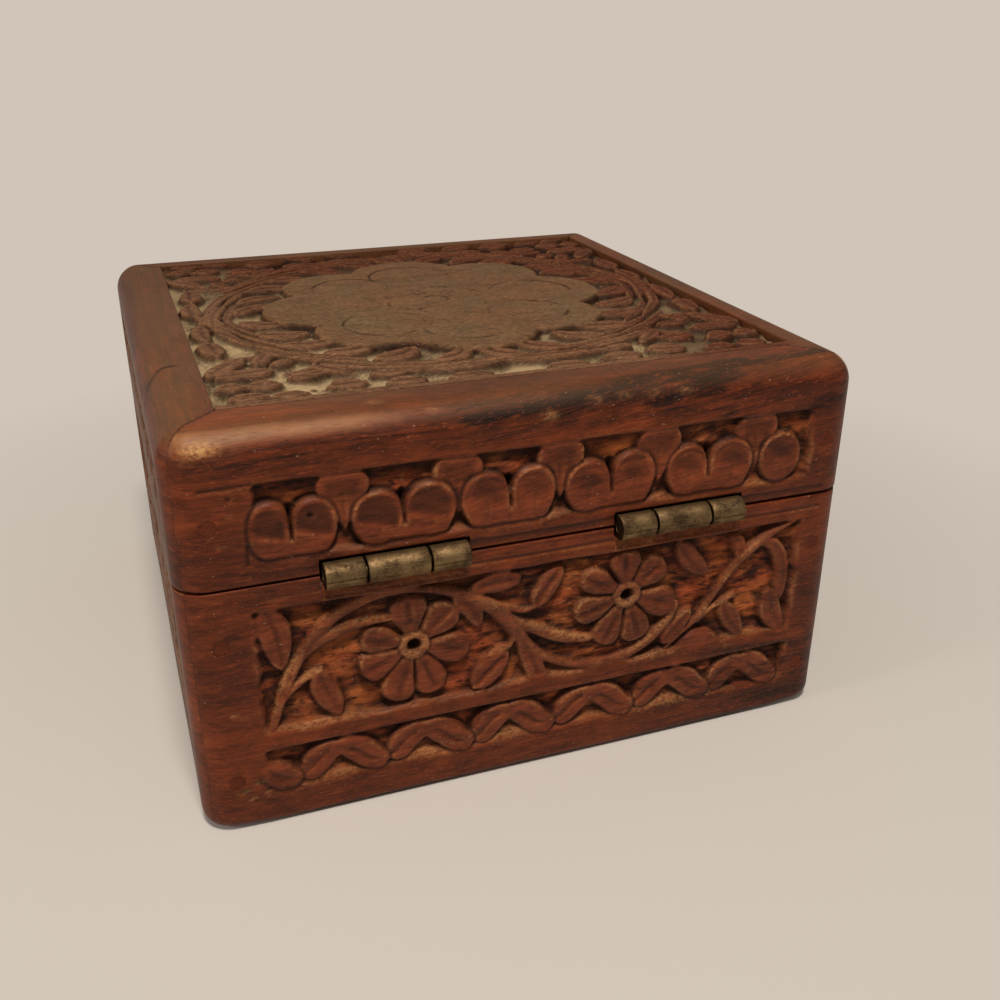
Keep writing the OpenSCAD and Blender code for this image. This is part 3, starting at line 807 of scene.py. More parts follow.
def amberZones(side, lid, u, z):
    # where the wood glows orange: both ends of the back rail, and a little anywhere
    zone = 0.12 + 0 * z + 0 * u
    if side == "back" and lid:
        for strength, one, other in ((0.6, (32 - u) / 22, (z - 55.5) / 3), (0.55, (u - 87) / 7, (z - 55) / 3),
                                     (0.3, (z - 56) / 3, (42 - u) / 12)):
            zone = np.maximum(zone, strength * ease(one) * ease(other))
    return zone


# dark figure of the back rail: path as (u, z + d), half width and strength; and places of pale crumbs
darkStrokes = (
    (((41, 58.3), (50, 59.2), (58, 60.2), (64, 61.8), (70, 63.4), (82, 64.8)), 0.9, 1.15),
    (((44, 57.4), (52, 58.2)), 1.4, 0.8), (((71, 57.4), (74, 58.2), (78, 60.6)), 1.9, 1.0),
    (((40, 60.6), (54, 61.2), (62, 62.8), (70, 65.0)), 0.7, 0.65),
    (((72, 61.6), (84, 63.4), (97, 64.8)), 0.8, 1.15), (((52, 58.0), (60, 58.9), (67, 59.8)), 1.0, 0.75),
    (((78, 55.6), (97, 56.2)), 3.6, 0.5), (((36, 54.6), (50, 55.4), (66, 55.6)), 0.6, 0.55),
    (((24, 57.0), (36, 57.6)), 0.5, 0.5), (((42, 58.5), (70, 60.5), (92, 62.5)), 4.0, 0.46),
    (((8, 56.4), (24, 57.0), (40, 57.6)), 2.4, 0.4))
crumbs = ((51.5, 57.4), (58.5, 59.4), (62.8, 59.6), (67.4, 59.3), (72.0, 59.0), (28.2, 65.0), (35.6, 61.4))


def streaks(side, lid, u, z, d):
    # where the dark figure of the wood gathers
    base = 0.12 + 0 * z
    if side != "back":
        return base + 0.25 * ease((z - 52) / 4) * lid
    if not lid:
        return np.clip(base + 0.45 * ease((u - 55) / 30) * ease((16 - z) / 4), 0, 1)
    a = z + d
    for path, half, strength in darkStrokes:
        best = np.full(a.shape, 1e9)
        for (u0, a0), (u1, a1) in zip(path, path[1:]):
            du, da = u1 - u0, a1 - a0
            t = np.clip(((u - u0) * du + (a - a0) * da) / (du**2 + da**2), 0, 1)
            best = np.minimum(best, np.hypot((u - u0 - t * du) / 3, a - a0 - t * da))
        base = np.maximum(base, strength * ease(1.5 - best / half))
    return base


def gridMesh(name, co, uv, layers, board):
    rows, cols = co.shape[:2]
    bm = bmesh.new()
    bmesh.ops.create_grid(bm, x_segments=cols - 1, y_segments=rows - 1, size=1)
    mesh = bpy.data.meshes.new(name)
    bm.to_mesh(mesh)
    bm.free()
    place = np.empty(len(mesh.vertices) * 3)
    mesh.vertices.foreach_get("co", place)
    place = place.reshape(-1, 3)
    i = np.rint((place[:, 0] + 1) / 2 * (cols - 1)).astype(int)
    j = np.rint((place[:, 1] + 1) / 2 * (rows - 1)).astype(int)
    mesh.vertices.foreach_set("co", (co[j, i] * mm).ravel())
    for layer, values in layers.items():
        made = mesh.attributes.new(layer, "FLOAT", "POINT")
        made.data.foreach_set("value", np.asarray(values, float)[j, i])
    mesh.attributes.new("board", "FLOAT_VECTOR", "POINT").data.foreach_set("vector", board[j, i].ravel())
    loops = np.empty(len(mesh.loops), int)
    mesh.loops.foreach_get("vertex_index", loops)
    flatUv = np.stack([uv[0][i[loops]], uv[1][j[loops]]], -1)
    mesh.uv_layers.new(name="OFBake").data.foreach_set("uv", flatUv.ravel())
    return mesh


def closeEnds(mesh):
    # welds the wrapped grid into a tube and closes its two mitred ends
    bm = bmesh.new()
    bm.from_mesh(mesh)
    bmesh.ops.remove_doubles(bm, verts=bm.verts, dist=0.0008 * mm)
    bmesh.ops.dissolve_degenerate(bm, edges=bm.edges, dist=0.0002 * mm)
    ends = bmesh.ops.holes_fill(bm, edges=[e for e in bm.edges if e.is_boundary], sides=0)["faces"]
    layer = bm.loops.layers.uv["OFBake"]
    for k, end in enumerate(ends):
        for loop in end.loops:
            x, y, z = loop.vert.co / mm
            inset = case["half"] - max(abs(x), abs(y))
            left = 0.03 + 0.5 * (k % 2)
            loop[layer].uv = (left + 0.4 * z / case["height"], 0.01 + 0.07 * inset / case["wall"])
    closeMesh(bm, ends, mesh)


def closeMesh(bm, filled, mesh):
    bmesh.ops.triangulate(bm, faces=filled)
    bmesh.ops.recalc_face_normals(bm, faces=bm.faces)
    bm.to_mesh(mesh)
    bm.free()


def makePiece(name, mesh, sharp=80):
    for face in mesh.polygons:
        face.use_smooth = True
    mesh.set_sharp_from_angle(angle=math.radians(sharp))
    return addObject(name, mesh)


def pieceFrom(bm, name, sharp):
    # a piece out of a bmesh in mm
    bmesh.ops.scale(bm, verts=bm.verts, vec=(mm, mm, mm))
    mesh = bpy.data.meshes.new(name)
    bm.to_mesh(mesh)
    bm.free()
    return makePiece(name, mesh, sharp)


def finishPiece(piece, body, slot, node):
    piece.data.materials.append(materials[slot])
    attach(piece, body)
    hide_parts(node)


def addObject(name, data):
    made = bpy.data.objects.new(name, data)
    bpy.context.collection.objects.link(made)
    return made


def linear(r, g, b):
    # an sRGB colour, 0 to 255, as Blender's sockets take it
    shares = (c / 255 for c in (r, g, b))
    return (*(c / 12.92 if c <= 0.04045 else ((c + 0.055) / 1.055) ** 2.4 for c in shares), 1)


class Nodes:
    # a node tree with short ways to add to it: vector is where its textures are read, in mm

    def __init__(self, tree, look=None):
        self.tree, self.look = tree, look

    def feed(self, node, values):
        # values are constants, or the sockets that feed the inputs
        for key, value in values.items():
            if isinstance(value, bpy.types.NodeSocket):
                self.tree.links.new(value, node.inputs[key])
            else:
                node.inputs[key].default_value = value

    def put(self, kind, values=None, **settings):
        node = self.tree.nodes.new("ShaderNode" + kind)
        for key, value in settings.items():
            setattr(node, key, value)
        self.feed(node, values or {})
        return node

    def group(self, tree, values):
        return self.put("Group", values, node_tree=tree).outputs

    def attribute(self, name, output="Fac"):
        return self.put("Attribute", attribute_name=name).outputs[output]

    def objectPlace(self, offset=(0, 0, 0)):
        spot = self.put("TexCoord").outputs["Object"]
        values = {"Vector": spot, "Scale": (1 / mm, 1 / mm, 1 / mm), "Location": offset}
        return self.put("Mapping", values).outputs[0]

    def maths(self, operation, a, b=0.5, clamp=False):
        return self.put("Math", {0: a, 1: b}, operation=operation, use_clamp=clamp).outputs[0]

    def times(self, value, *others, clamp=False):
        for other in others:
            value = self.maths("MULTIPLY", value, other, clamp)
        return value

    def plus(self, a, b, clamp=False):
        return self.maths("ADD", a, b, clamp)

    def step(self, value, low, high, least=0, most=1):
        return self.put("MapRange", {0: value, 1: low, 2: high, 3: least, 4: most}, clamp=True).outputs[0]

    def noise(self, along, across, detail=2, rough=0.5, twist=0):
        spot = self.put("Mapping", {"Vector": self.vector, "Scale": (along, across, across)}).outputs[0]
        return self.put("TexNoise", {"Vector": spot, "Scale": 1, "Detail": detail, "Roughness": rough,
                                     "Distortion": twist}).outputs[0]

    def mix(self, factor, a, b, kind="MIX"):
        # a colour is a socket, or a name from the look
        a, b = (linear(*self.look[c]) if isinstance(c, str) else c for c in (a, b))
        return self.put("Mix", {0: factor, 6: a, 7: b}, data_type="RGBA", blend_type=kind).outputs[2]

    def over(self, mask, strength, top):
        self.colour = self.mix(self.times(mask, strength, clamp=True), self.colour, top)

    def shade(self, grey):
        grey = self.put("CombineColor", {0: grey, 1: grey, 2: grey}).outputs[0]
        self.colour = self.mix(1, self.colour, grey, "MULTIPLY")

    def finish(self, rough, height, strength, distance, gloss=0.5, metallic=0):
        bump = self.put("Bump", {"Strength": strength, "Distance": distance * mm, "Height": height})
        self.feed(self.shader, {"Base Color": self.colour, "Roughness": rough, "Normal": bump.outputs[0],
                                "Specular IOR Level": gloss, "Metallic": metallic})


def newGroup(name, inputs, outputs):
    tree = bpy.data.node_groups.new(name, "ShaderNodeTree")
    for way, labels in (("INPUT", inputs), ("OUTPUT", outputs)):
        for label in labels:
            kind = "NodeSocketVector" if label == "Vector" else "NodeSocketFloat"
            tree.interface.new_socket(name=label, in_out=way, socket_type=kind)
    n = Nodes(tree)
    n.given, n.result = tree.nodes.new("NodeGroupInput").outputs, tree.nodes.new("NodeGroupOutput")
    n.vector = n.given["Vector"]
    return n


def newMaterial(name, look):
    material = bpy.data.materials.new(name)
    material.use_nodes = True
    n = Nodes(material.node_tree, look)
    n.shader = n.tree.nodes["Principled BSDF"]
    return material, n


def woodFigureGroup():
    # grain that runs along X of its vector
    n = newGroup("woodFigure", ("Vector",), ("Tone", "Fibre", "Streak", "Pore", "Height"))
    pore = n.step(n.noise(0.42, 5.2, 1.5), 0.6, 0.74)
    warp = n.noise(0.02, 0.07)
    bend = n.put("CombineXYZ", {"Y": n.times(warp, 9), "Z": n.times(warp, 6)}).outputs[0]
    n.vector = n.put("VectorMath", {0: n.vector, 1: bend}, operation="ADD").outputs[0]
    fibre = n.noise(0.07, 2, 5, 0.65)
    n.feed(n.result, {
        "Tone": n.noise(0.012, 0.09, 4, 0.55), "Fibre": fibre, "Pore": pore,
        "Streak": n.step(n.noise(0.014, 0.42, 5, 0.62, 0.4), 0.47, 0.66),
        "Height": n.maths("SUBTRACT", n.times(fibre, 0.6), n.times(pore, 0.4))})
    return n.tree


def dustGroup():
    # dry dust that gathers in hollows
    n = newGroup("settledDust", ("Vector", "Amount"), ("Mask",))
    mask = n.plus(n.times(n.noise(0.11, 0.11, 3, 0.6), 1.2), n.times(n.noise(2.6, 2.6, 3, 0.7), 0.7))
    n.feed(n.result, {"Mask": n.times(n.step(mask, 0.62, 0.98), n.given["Amount"], clamp=True)})
    return n.tree


def wearGroup():
    # rubbed patches and short scratches along edges
    n = newGroup("rubbedEdges", ("Vector", "Edge"), ("Mask",))
    value = n.times(n.given["Edge"], n.plus(n.noise(0.2, 0.7, 4, 0.65), 0.35))
    n.feed(n.result, {"Mask": n.step(value, 0.3, 0.85)})
    return n.tree


woodFigure, settledDust, rubbedEdges = woodFigureGroup(), dustGroup(), wearGroup()

# colours are sRGB, 0 to 255
caseWoodLook = {
    "wood": (80, 35, 17),
    "warmWood": (114, 51, 21),
    "fresh": (124, 60, 35),
    "amber": (146, 60, 24),
    "darkFigure": (30, 16, 12),
    "ground": (160, 74, 37),
    "groundDark": (64, 26, 14),
    "scooped": (196, 108, 52),
    "splinter": (214, 140, 74),
    "stainAndShade": (26, 10, 5),
    "rubbedAndHighlight": (200, 138, 86),
    "haze": (109, 79, 50),
    "paleWearAndHighlight": (204, 158, 98),
    "bare": (118, 70, 42),
    "fleck": (190, 160, 130),
    "roughness": 0.39,
    "gloss": 0.2,
}


def makeCaseWood():
    material, n = newMaterial("caseWood", caseWoodLook)
    n.vector = board = n.attribute("board", "Vector")
    figure = n.group(woodFigure, {"Vector": board})
    tone, fibre = figure["Tone"], figure["Fibre"]
    relief, dark, tan, ridge, hollow = map(n.attribute, ("relief", "dark", "tan", "ridge", "hollow"))
    edge, streaky, dusty, inside = map(n.attribute, ("edge", "streaky", "dusty", "inside"))
    fresh, amber = n.attribute("fresh"), n.attribute("amber")
    # the chopped ground: torn along the grain, orange where fresh and dark in its crevices
    chisel = n.noise(0.3, 1.2, 6, 0.66)
    n.colour = n.mix(n.step(n.plus(chisel, n.noise(0.16, 0.36, 4, 0.6)), 0.86, 1.1), "groundDark", "ground")
    n.over(n.step(n.noise(0.13, 0.26, 3, 0.6), 0.46, 0.64), 0.7, "scooped")
    n.over(n.step(n.noise(0.3, 1.1, 5, 0.66, 0.7), 0.37, 0.46, 1, 0), 0.9, "stainAndShade")
    torn = n.colour
    # the face of the wood
    n.colour = n.mix(n.step(tone, 0.38, 0.66), "wood", "warmWood")
    n.over(n.times(fresh, n.step(tone, 0.3, 0.6, 0.6, 1)), 0.6, "fresh")
    n.over(n.times(amber, n.step(tone, 0.36, 0.6, 0.45, 1)), 0.8, "amber")
    n.over(inside, 0.8, "bare")
    n.over(n.times(figure["Streak"], n.step(streaky, 0, 0.8), clamp=True), 0.92, "darkFigure")
    ragged = n.times(n.maths("SUBTRACT", n.noise(0.035, 0.7, 7, 0.72, 0.9), 0.5), 3.2)
    n.over(n.step(n.plus(streaky, ragged), 0.42, 0.95), 0.88, "darkFigure")
    mottle = n.step(n.noise(0.18, 0.4, 6, 0.7), 0.32, 0.68, 0.56, 1.44)
    n.shade(n.times(n.step(fibre, 0.3, 0.72, 0.62, 1.3), mottle))
    n.over(figure["Pore"], 0.6, "stainAndShade")
    n.over(n.step(n.noise(0.8, 3, 4, 0.65), 0.56, 0.68), 0.42, "ground")
    # cuts, wear and dust, with painted highlights on lit ridges, slopes and rims, and painted shade on walls
    # and in cuts, holes and hollows
    sunk = n.step(relief, 0.3, 0.95)
    n.over(sunk, 0.9, torn)
    patchy = n.step(n.noise(0.1, 0.22, 3), 0.44, 0.6)
    n.over(n.times(n.step(n.noise(0.7, 2.8, 3, 0.6), 0.6, 0.7), sunk, patchy), 0.85, "splinter")
    grit = n.noise(1.2, 2, 4, 0.7)
    grains = n.step(grit, 0.36, 0.6)
    worn = n.times(n.step(grit, 0.4, 0.6, 0.15, 1.1), n.step(patchy, 0, 1, 0.5, 1.1))
    # pale wear and painted highlight: chips, splinters and worn spots, painted highlight on lit slopes, stems
    # and rims, then glints on lit ridges
    n.over(n.times(tan, worn), 0.5, "rubbedAndHighlight")
    n.over(n.times(ridge, patchy, grains), 0.6, "rubbedAndHighlight")
    # dust and painted sheen on the rail tops and on the right side
    n.over(n.times(dusty, n.step(n.noise(0.03, 0.12, 3), 0.3, 0.62, 0.4, 1)), 0.6, "haze")
    # the palest places: worn spots, chips and splinters, and painted highlight on lit slopes and stems
    n.over(n.times(n.step(tan, 0.7, 2), grains), 0.75, "paleWearAndHighlight")
    # painted shade on steep walls, in cuts, holes and the barrels' rooms, along with dark joints, cracks and
    # chips; then painted shade and dirt in the hollows
    n.over(dark, 0.75, "stainAndShade")
    n.over(hollow, 0.8, "stainAndShade")
    n.over(n.group(rubbedEdges, {"Vector": board, "Edge": edge})["Mask"], 0.45, "rubbedAndHighlight")
    n.over(n.step(n.noise(1.6, 2.2, 1), 0.74, 0.79), 0.3, "fleck")
    rough = n.plus(n.plus(n.times(sunk, 0.2), n.times(fibre, 0.16)), n.look["roughness"], clamp=True)
    n.finish(rough, n.plus(figure["Height"], n.times(chisel, sunk, 7)), 1, 0.06, n.look["gloss"])
    return material


topWoodLook = {
    "wood": (117, 81, 57),
    "red": (98, 53, 34),
    "medallion": (114, 80, 54),
    "olive": (106, 84, 57),
    "stainAndShade": (36, 18, 11),
    "rubbedAndHighlight": (156, 116, 76),
    "dust": (176, 150, 112),
    "roughness": 0.54,
    "gloss": 0.08,
}


def makePanelWood():
    material, n = newMaterial("panelWood", topWoodLook)
    n.vector = board = n.attribute("board", "Vector")
    figure = n.group(woodFigure, {"Vector": board})
    relief, dark, ridge, flat = map(n.attribute, ("relief", "dark", "ridge", "flat"))
    hollow, dusty, level = map(n.attribute, ("hollow", "dusty", "level"))
    # the panel is paler where dust and painted sheen lie, redder elsewhere
    n.colour = n.mix(n.step(dusty, 0.25, 0.85), "red", "wood")
    n.over(flat, 0.9, n.mix(n.step(n.noise(0.08, 0.08, 4, 0.6), 0.36, 0.66), "medallion", "olive"))
    grit = n.noise(1.2, 2.8, 4, 0.7)
    cloud = n.step(n.noise(0.2, 0.45, 4, 0.6), 0.34, 0.66, 0.86, 1.14)
    n.shade(n.times(cloud, n.step(grit, 0.3, 0.7, 0.46, 1.54)))
    n.over(figure["Pore"], 0.4, "stainAndShade")
    n.over(n.times(figure["Streak"], n.step(flat, 0, 1, 1, 0.3)), 0.3, "stainAndShade")
    # painted highlight on lit ridges; then painted shade deeper in the cuts, and painted shade with dirt in
    # the hollows
    n.over(n.times(ridge, n.step(grit, 0.4, 0.6)), 0.7, "rubbedAndHighlight")
    n.over(n.step(relief, 0.35, 1.1), 0.75, "stainAndShade")
    n.over(hollow, 1.1, "stainAndShade")
    dust = n.group(settledDust, {"Vector": board, "Amount": n.times(level, dusty)})["Mask"]
    n.over(dust, 0.92, "dust")
    n.over(n.times(dust, n.step(grit, 0.56, 0.66)), 0.55, "wood")
    # painted shade on steep walls and veins, with the scratched circles and chips
    n.over(dark, 1, "stainAndShade")
    nick = n.noise(0.5, 2.4, 2, 0.6)
    n.over(n.step(nick, 0.64, 0.7), 0.65, "stainAndShade")
    n.over(n.step(nick, 0.3, 0.26), 0.5, "dust")
    dull = n.plus(n.times(dust, 0.35), n.times(figure["Fibre"], 0.12))
    rough = n.plus(dull, n.look["roughness"], clamp=True)
    n.finish(rough, n.plus(figure["Height"], n.times(grit, 1.6)), 0.7, 0.06, n.look["gloss"])
    return material


innerWoodLook = {"wood": (104, 60, 36), "light": (126, 78, 46), "streak": (56, 32, 22), "pore": (50, 28, 20)}


def makeInnerWood():
    material, n = newMaterial("innerWood", innerWoodLook)
    figure = n.group(woodFigure, {"Vector": n.objectPlace((40, 7, 3))})
    fibre = figure["Fibre"]
    n.colour = n.mix(n.step(figure["Tone"], 0.35, 0.65), "wood", "light")
    n.over(figure["Streak"], 0.25, "streak")
    n.shade(n.step(fibre, 0.3, 0.72, 0.8, 1.15))
    n.over(figure["Pore"], 0.4, "pore")
    n.finish(n.step(fibre, 0.2, 0.8, 0.5, 0.68), figure["Height"], 0.6, 0.05)
    return material


fillerLook = {"filler": (76, 32, 16), "light": (108, 46, 20), "patch": (66, 30, 18), "gloss": 0.2}


def makeFiller():
    material, n = newMaterial("plugFiller", fillerLook)
    n.vector = n.objectPlace()
    grit = n.noise(2.2, 2.2, 4, 0.7)
    n.colour = n.mix(n.step(grit, 0.35, 0.65), "filler", "light")
    n.colour = n.mix(n.step(n.noise(0.5, 0.5), 0.5, 0.7, 0, 0.4), n.colour, "patch")
    n.finish(n.step(grit, 0.2, 0.8, 0.55, 0.75), grit, 0.8, 0.08, n.look["gloss"])
    return material


metalLooks = {
    "hingeBrass": {
        "metal": (136, 110, 76), "tarnish": (84, 64, 45), "shine": (164, 142, 102), "rough": (0.56, 0.72)},
    "screwBrass": {
        "metal": (150, 122, 72), "tarnish": (100, 76, 46), "shine": (196, 170, 110), "rough": (0.3, 0.48)},
    "nailSteel": {
        "metal": (120, 112, 104), "tarnish": (84, 60, 46), "shine": (160, 154, 148), "rough": (0.4, 0.6)},
}


def makeMetal(name):
    # aged metal: tarnish in patches, rubbed shine and fine scratches along X
    material, n = newMaterial(name, metalLooks[name])
    n.vector = n.objectPlace()
    grit, scratch = n.noise(3, 3, 3, 0.65), n.noise(0.5, 9, 2, 0.6)
    mask = n.step(n.plus(n.times(n.noise(0.35, 0.35, 4, 0.6), 0.7), n.times(grit, 0.3)), 0.42, 0.6)
    n.colour = n.mix(mask, "metal", "tarnish")
    n.colour = n.mix(n.step(scratch, 0.56, 0.74, 0, 0.6), n.colour, "shine")
    # painted shade: faces that look along X, such as the ends of the knuckles, are kept dark
    facing = n.put("SeparateXYZ", {0: n.put("NewGeometry").outputs["Normal"]}).outputs["X"]
    paintedEndShade = (0.012, 0.008, 0.005, 1)
    n.colour = n.mix(n.step(n.maths("ABSOLUTE", facing), 0.5, 0.9, 0, 0.85), n.colour, paintedEndShade)
    height = n.plus(n.times(scratch, 0.4), n.times(grit, 0.5))
    n.finish(n.step(mask, 0, 1, *n.look["rough"]), height, 0.5, 0.03, metallic=1)
    return material


materials = {
    "case_wood": makeCaseWood(),
    "panel_wood": makePanelWood(),
    "inner_wood": makeInnerWood(),
    "plug_filler": makeFiller(),
    "hinge_brass": makeMetal("hingeBrass"),
    "screw_brass": makeMetal("screwBrass"),
    "nail_steel": makeMetal("nailSteel"),
}
print("materials made")

for side in sides:
    face = carveSide(side)
    rng = np.random.default_rng(sides[side]["seed"] + 100)
    wall = wrapBoard(f"{side}_wall_carved", side, False, face, rng)
    finishPiece(wall, "body", "case_wood", f"body_{side}_wall")
    rail = wrapBoard(f"{side}_rail_carved", side, True, face, rng)
    finishPiece(rail, "lid", "case_wood", f"lid_{side}_rail")
    print(side, "carved:", len(wall.data.polygons), "and", len(rail.data.polygons), "faces")


def only(geom, kind):
    # the BMVert, BMEdge or BMFace among what an operator made
    return [g for g in geom if type(g).__name__ == kind]


topPanel = {"low": -44.1, "high": 42.3, "top": 60.5, "bottom": 53.5, "pitch": 0.285, "seed": 11}


def makeTopPanel():
    # u and w of its face run as the photo shows it: away from the corner at half, half
    half, low, high, top = case["half"], topPanel["low"], topPanel["high"], topPanel["top"]
    count = int(round((high - low) / topPanel["pitch"])) + 1
    line = np.linspace(half - high, half - low, count)
    face = makeFace(line, line, 0.6)
    rng = np.random.default_rng(topPanel["seed"])
    carveTop(face, rng)
    finishFace(face, rng, 0.16, 0.33)
    face.h = face.h - 0.03 - 0.02 * roughness(face, 12, 9, rng).clip(-1, 1)
    u, w = np.meshgrid(line, line)
    co = np.stack([half - u, half - w, top + np.minimum(face.h, -0.01)], -1)
    # dust and painted sheen, strongest near one corner
    dusty = ease(1.4 - np.hypot((u - 4) / 85, (w - 16) / 62) + 0.12 * roughness(face, 6, 6, rng))
    layers = {layer: getattr(face, layer) for layer in ("dark", "ridge", "hollow", "flat", "level")}
    layers.update(relief=-face.h, dusty=dusty)
    board = np.stack([u + 512, w, co[:, :, 2]], -1)
    span = 0.02 + 0.9 * np.linspace(0, 1, count)
    mesh = gridMesh("top_panel_carved", co, (span, span), layers, board)
    bm = bmesh.new()
    bm.from_mesh(mesh)
    made = bmesh.ops.extrude_edge_only(bm, edges=[e for e in bm.edges if e.is_boundary])["geom"]
    uvLayer = bm.loops.layers.uv["OFBake"]
    marks = [bm.verts.layers.float[layer] for layer in layers]
    for vert in only(made, "BMVert"):
        vert.co.z = topPanel["bottom"] * mm
        for layer in marks:  # bare wood below
            vert[layer] = 0.0
    for skirt in only(made, "BMFace"):
        for loop in skirt.loops:
            x, y, z = loop.vert.co / mm
            drop = 0.012 * (top - z) / (top - topPanel["bottom"])
            loop[uvLayer].uv = (0.93 + 0.03 * (abs(skirt.normal.x) > 0.5) + drop, (x + y + 90) / 180)
    below = bmesh.ops.holes_fill(bm, edges=[e for e in bm.edges if e.is_boundary], sides=0)["faces"]
    for loop in below[0].loops:
        x, y, z = loop.vert.co / mm
        loop[uvLayer].uv = (0.02 + 0.9 * (x + 45) / 90, 0.94 + 0.05 * (y + 45) / 90)
    closeMesh(bm, below, mesh)
    return makePiece("top_panel_carved", mesh)


finishPiece(makeTopPanel(), "lid", "panel_wood", "lid_top_panel")
print("top panel carved")


def spun(profile, steps):
    # a bmesh from a profile of (along, radius) points spun round X
    bm = bmesh.new()
    verts = [bm.verts.new((along, radius, 0)) for along, radius in profile]
    edges = [bm.edges.new(pair) for pair in zip(verts, verts[1:])]
    bmesh.ops.spin(bm, geom=verts + edges, cent=(0, 0, 0), axis=(1, 0, 0), angle=math.tau, steps=steps,
                   use_merge=True)
    bmesh.ops.remove_doubles(bm, verts=bm.verts, dist=0.001)
    bmesh.ops.recalc_face_normals(bm, faces=bm.faces)
    return bm


def turned(bm, angle, axis):
    bmesh.ops.rotate(bm, verts=bm.verts, cent=(0, 0, 0), matrix=Matrix.Rotation(angle, 3, axis))


def moved(bm, x, y, z):
    bmesh.ops.translate(bm, verts=bm.verts, vec=(x, y, z))


def joinInto(target, source):
    mesh = bpy.data.meshes.new("part")
    source.to_mesh(mesh)
    source.free()
    target.from_mesh(mesh)
    bpy.data.meshes.remove(mesh)


def knuckle(target, start, end, seamAngle):
    r, bore, soft, seam = hinge["barrel"] / 2, hinge["bore"] / 2, 0.16, 0.16
    less = soft * 0.35
    profile = [(start, bore), (start, r - soft), (start + less, r - less), (start + soft, r)]
    profile += [(x, r) for x in np.linspace(start + soft, end - soft, 6)[1:-1]]
    profile += [(end - soft, r), (end - less, r - less), (end, r - soft), (end, bore), (start, bore)]
    bm = spun(profile, 48)
    for vert in bm.verts:  # the sheet's end shows as a line along the barrel
        away = abs((math.atan2(vert.co.z, vert.co.y) - seamAngle + math.pi) % math.tau - math.pi)
        radius = math.hypot(vert.co.y, vert.co.z)
        if radius > r * 0.8 and away < 0.07:
            vert.co.y *= 1 - seam / radius
            vert.co.z *= 1 - seam / radius
    moved(bm, 0, hinge["axisY"], hinge["axisZ"])
    joinInto(target, bm)


def reachEdge(place, way, low, high):
    # how many times a ray's length it is to the edge of the half plate, in one direction
    if abs(way) <= 1e-6:
        return 1e9
    return ((high if way > 0 else low) - place) / way


def leafPlate(target, centre, up):
    # plate with two countersunk holes, each in its own half
    near, thick, shank = hinge["axisZ"] + up * 0.2, hinge["leafThick"], hinge["screwShank"] / 2 + 0.05
    y0, y1 = hinge["axisY"] - hinge["leafWidth"], hinge["axisY"] - 1.35
    for way in (-1, 1):
        hole = Vector((centre + way * hinge["screwAlong"], hinge["screwY"], near))
        x0, x1 = sorted((centre, centre + way * hinge["half"]))
        bm = bmesh.new()
        bmesh.ops.create_circle(bm, segments=32, radius=hinge["screwHead"] / 2 + 0.05)
        moved(bm, *hole)
        inner = list(bm.edges)
        outer = only(bmesh.ops.extrude_edge_only(bm, edges=inner)["geom"], "BMVert")
        for vert in outer:  # out to the edge of the half plate
            ray = vert.co - hole
            vert.co = hole + ray * min(reachEdge(hole.x, ray.x, x0, x1), reachEdge(hole.y, ray.y, y0, y1))
        for corner in [Vector((x, y, near)) for x in (x0, x1) for y in (y0, y1)]:
            min(outer, key=lambda v: (v.co - corner).length).co = corner
        for depth, radius in ((thick * 0.9, shank), (thick, None)):
            grown = bmesh.ops.extrude_edge_only(bm, edges=inner)["geom"]
            inner = only(grown, "BMEdge")
            for vert in only(grown, "BMVert"):
                if radius:
                    ray = vert.co - hole
                    vert.co = hole + ray * (radius / ray.length)
                vert.co.z = near + up * depth
        outerEdges = [e for e in bm.edges if e.is_boundary and e not in set(inner)]
        grown = bmesh.ops.extrude_edge_only(bm, edges=outerEdges)["geom"]
        for vert in only(grown, "BMVert"):
            vert.co.z = near + up * thick
        bmesh.ops.bridge_loops(bm, edges=only(grown, "BMEdge") + inner)
        # drop the wall between the halves, so that the plate is one
        middleWall = [f for f in bm.faces if all(abs(v.co.x - centre) < 1e-4 for v in f.verts)]
        bmesh.ops.delete(bm, geom=middleWall, context="FACES_ONLY")
        joinInto(target, bm)
    bmesh.ops.remove_doubles(target, verts=target.verts, dist=0.002)
    bmesh.ops.recalc_face_normals(target, faces=target.faces)


def leafMesh(name, centre, up, knuckles):
    bm = bmesh.new()
    leafPlate(bm, centre, up)
    for start, end in knuckles:
        knuckle(bm, centre + start, centre + end, math.radians(-24 if up > 0 else -8))
    return pieceFrom(bm, name, 35)


def pinMesh(name, centre):
    half, r = hinge["half"], hinge["pin"] / 2
    profile = [(-half + 0.02, 0), (-half + 0.02, r * 0.55), (-half + 0.1, r * 0.85), (-half + 0.25, r)]
    profile += [(-x, radius) for x, radius in reversed(profile)]
    bm = spun(profile, 24)
    moved(bm, centre, hinge["axisY"], hinge["axisZ"])
    return pieceFrom(bm, name, 50)


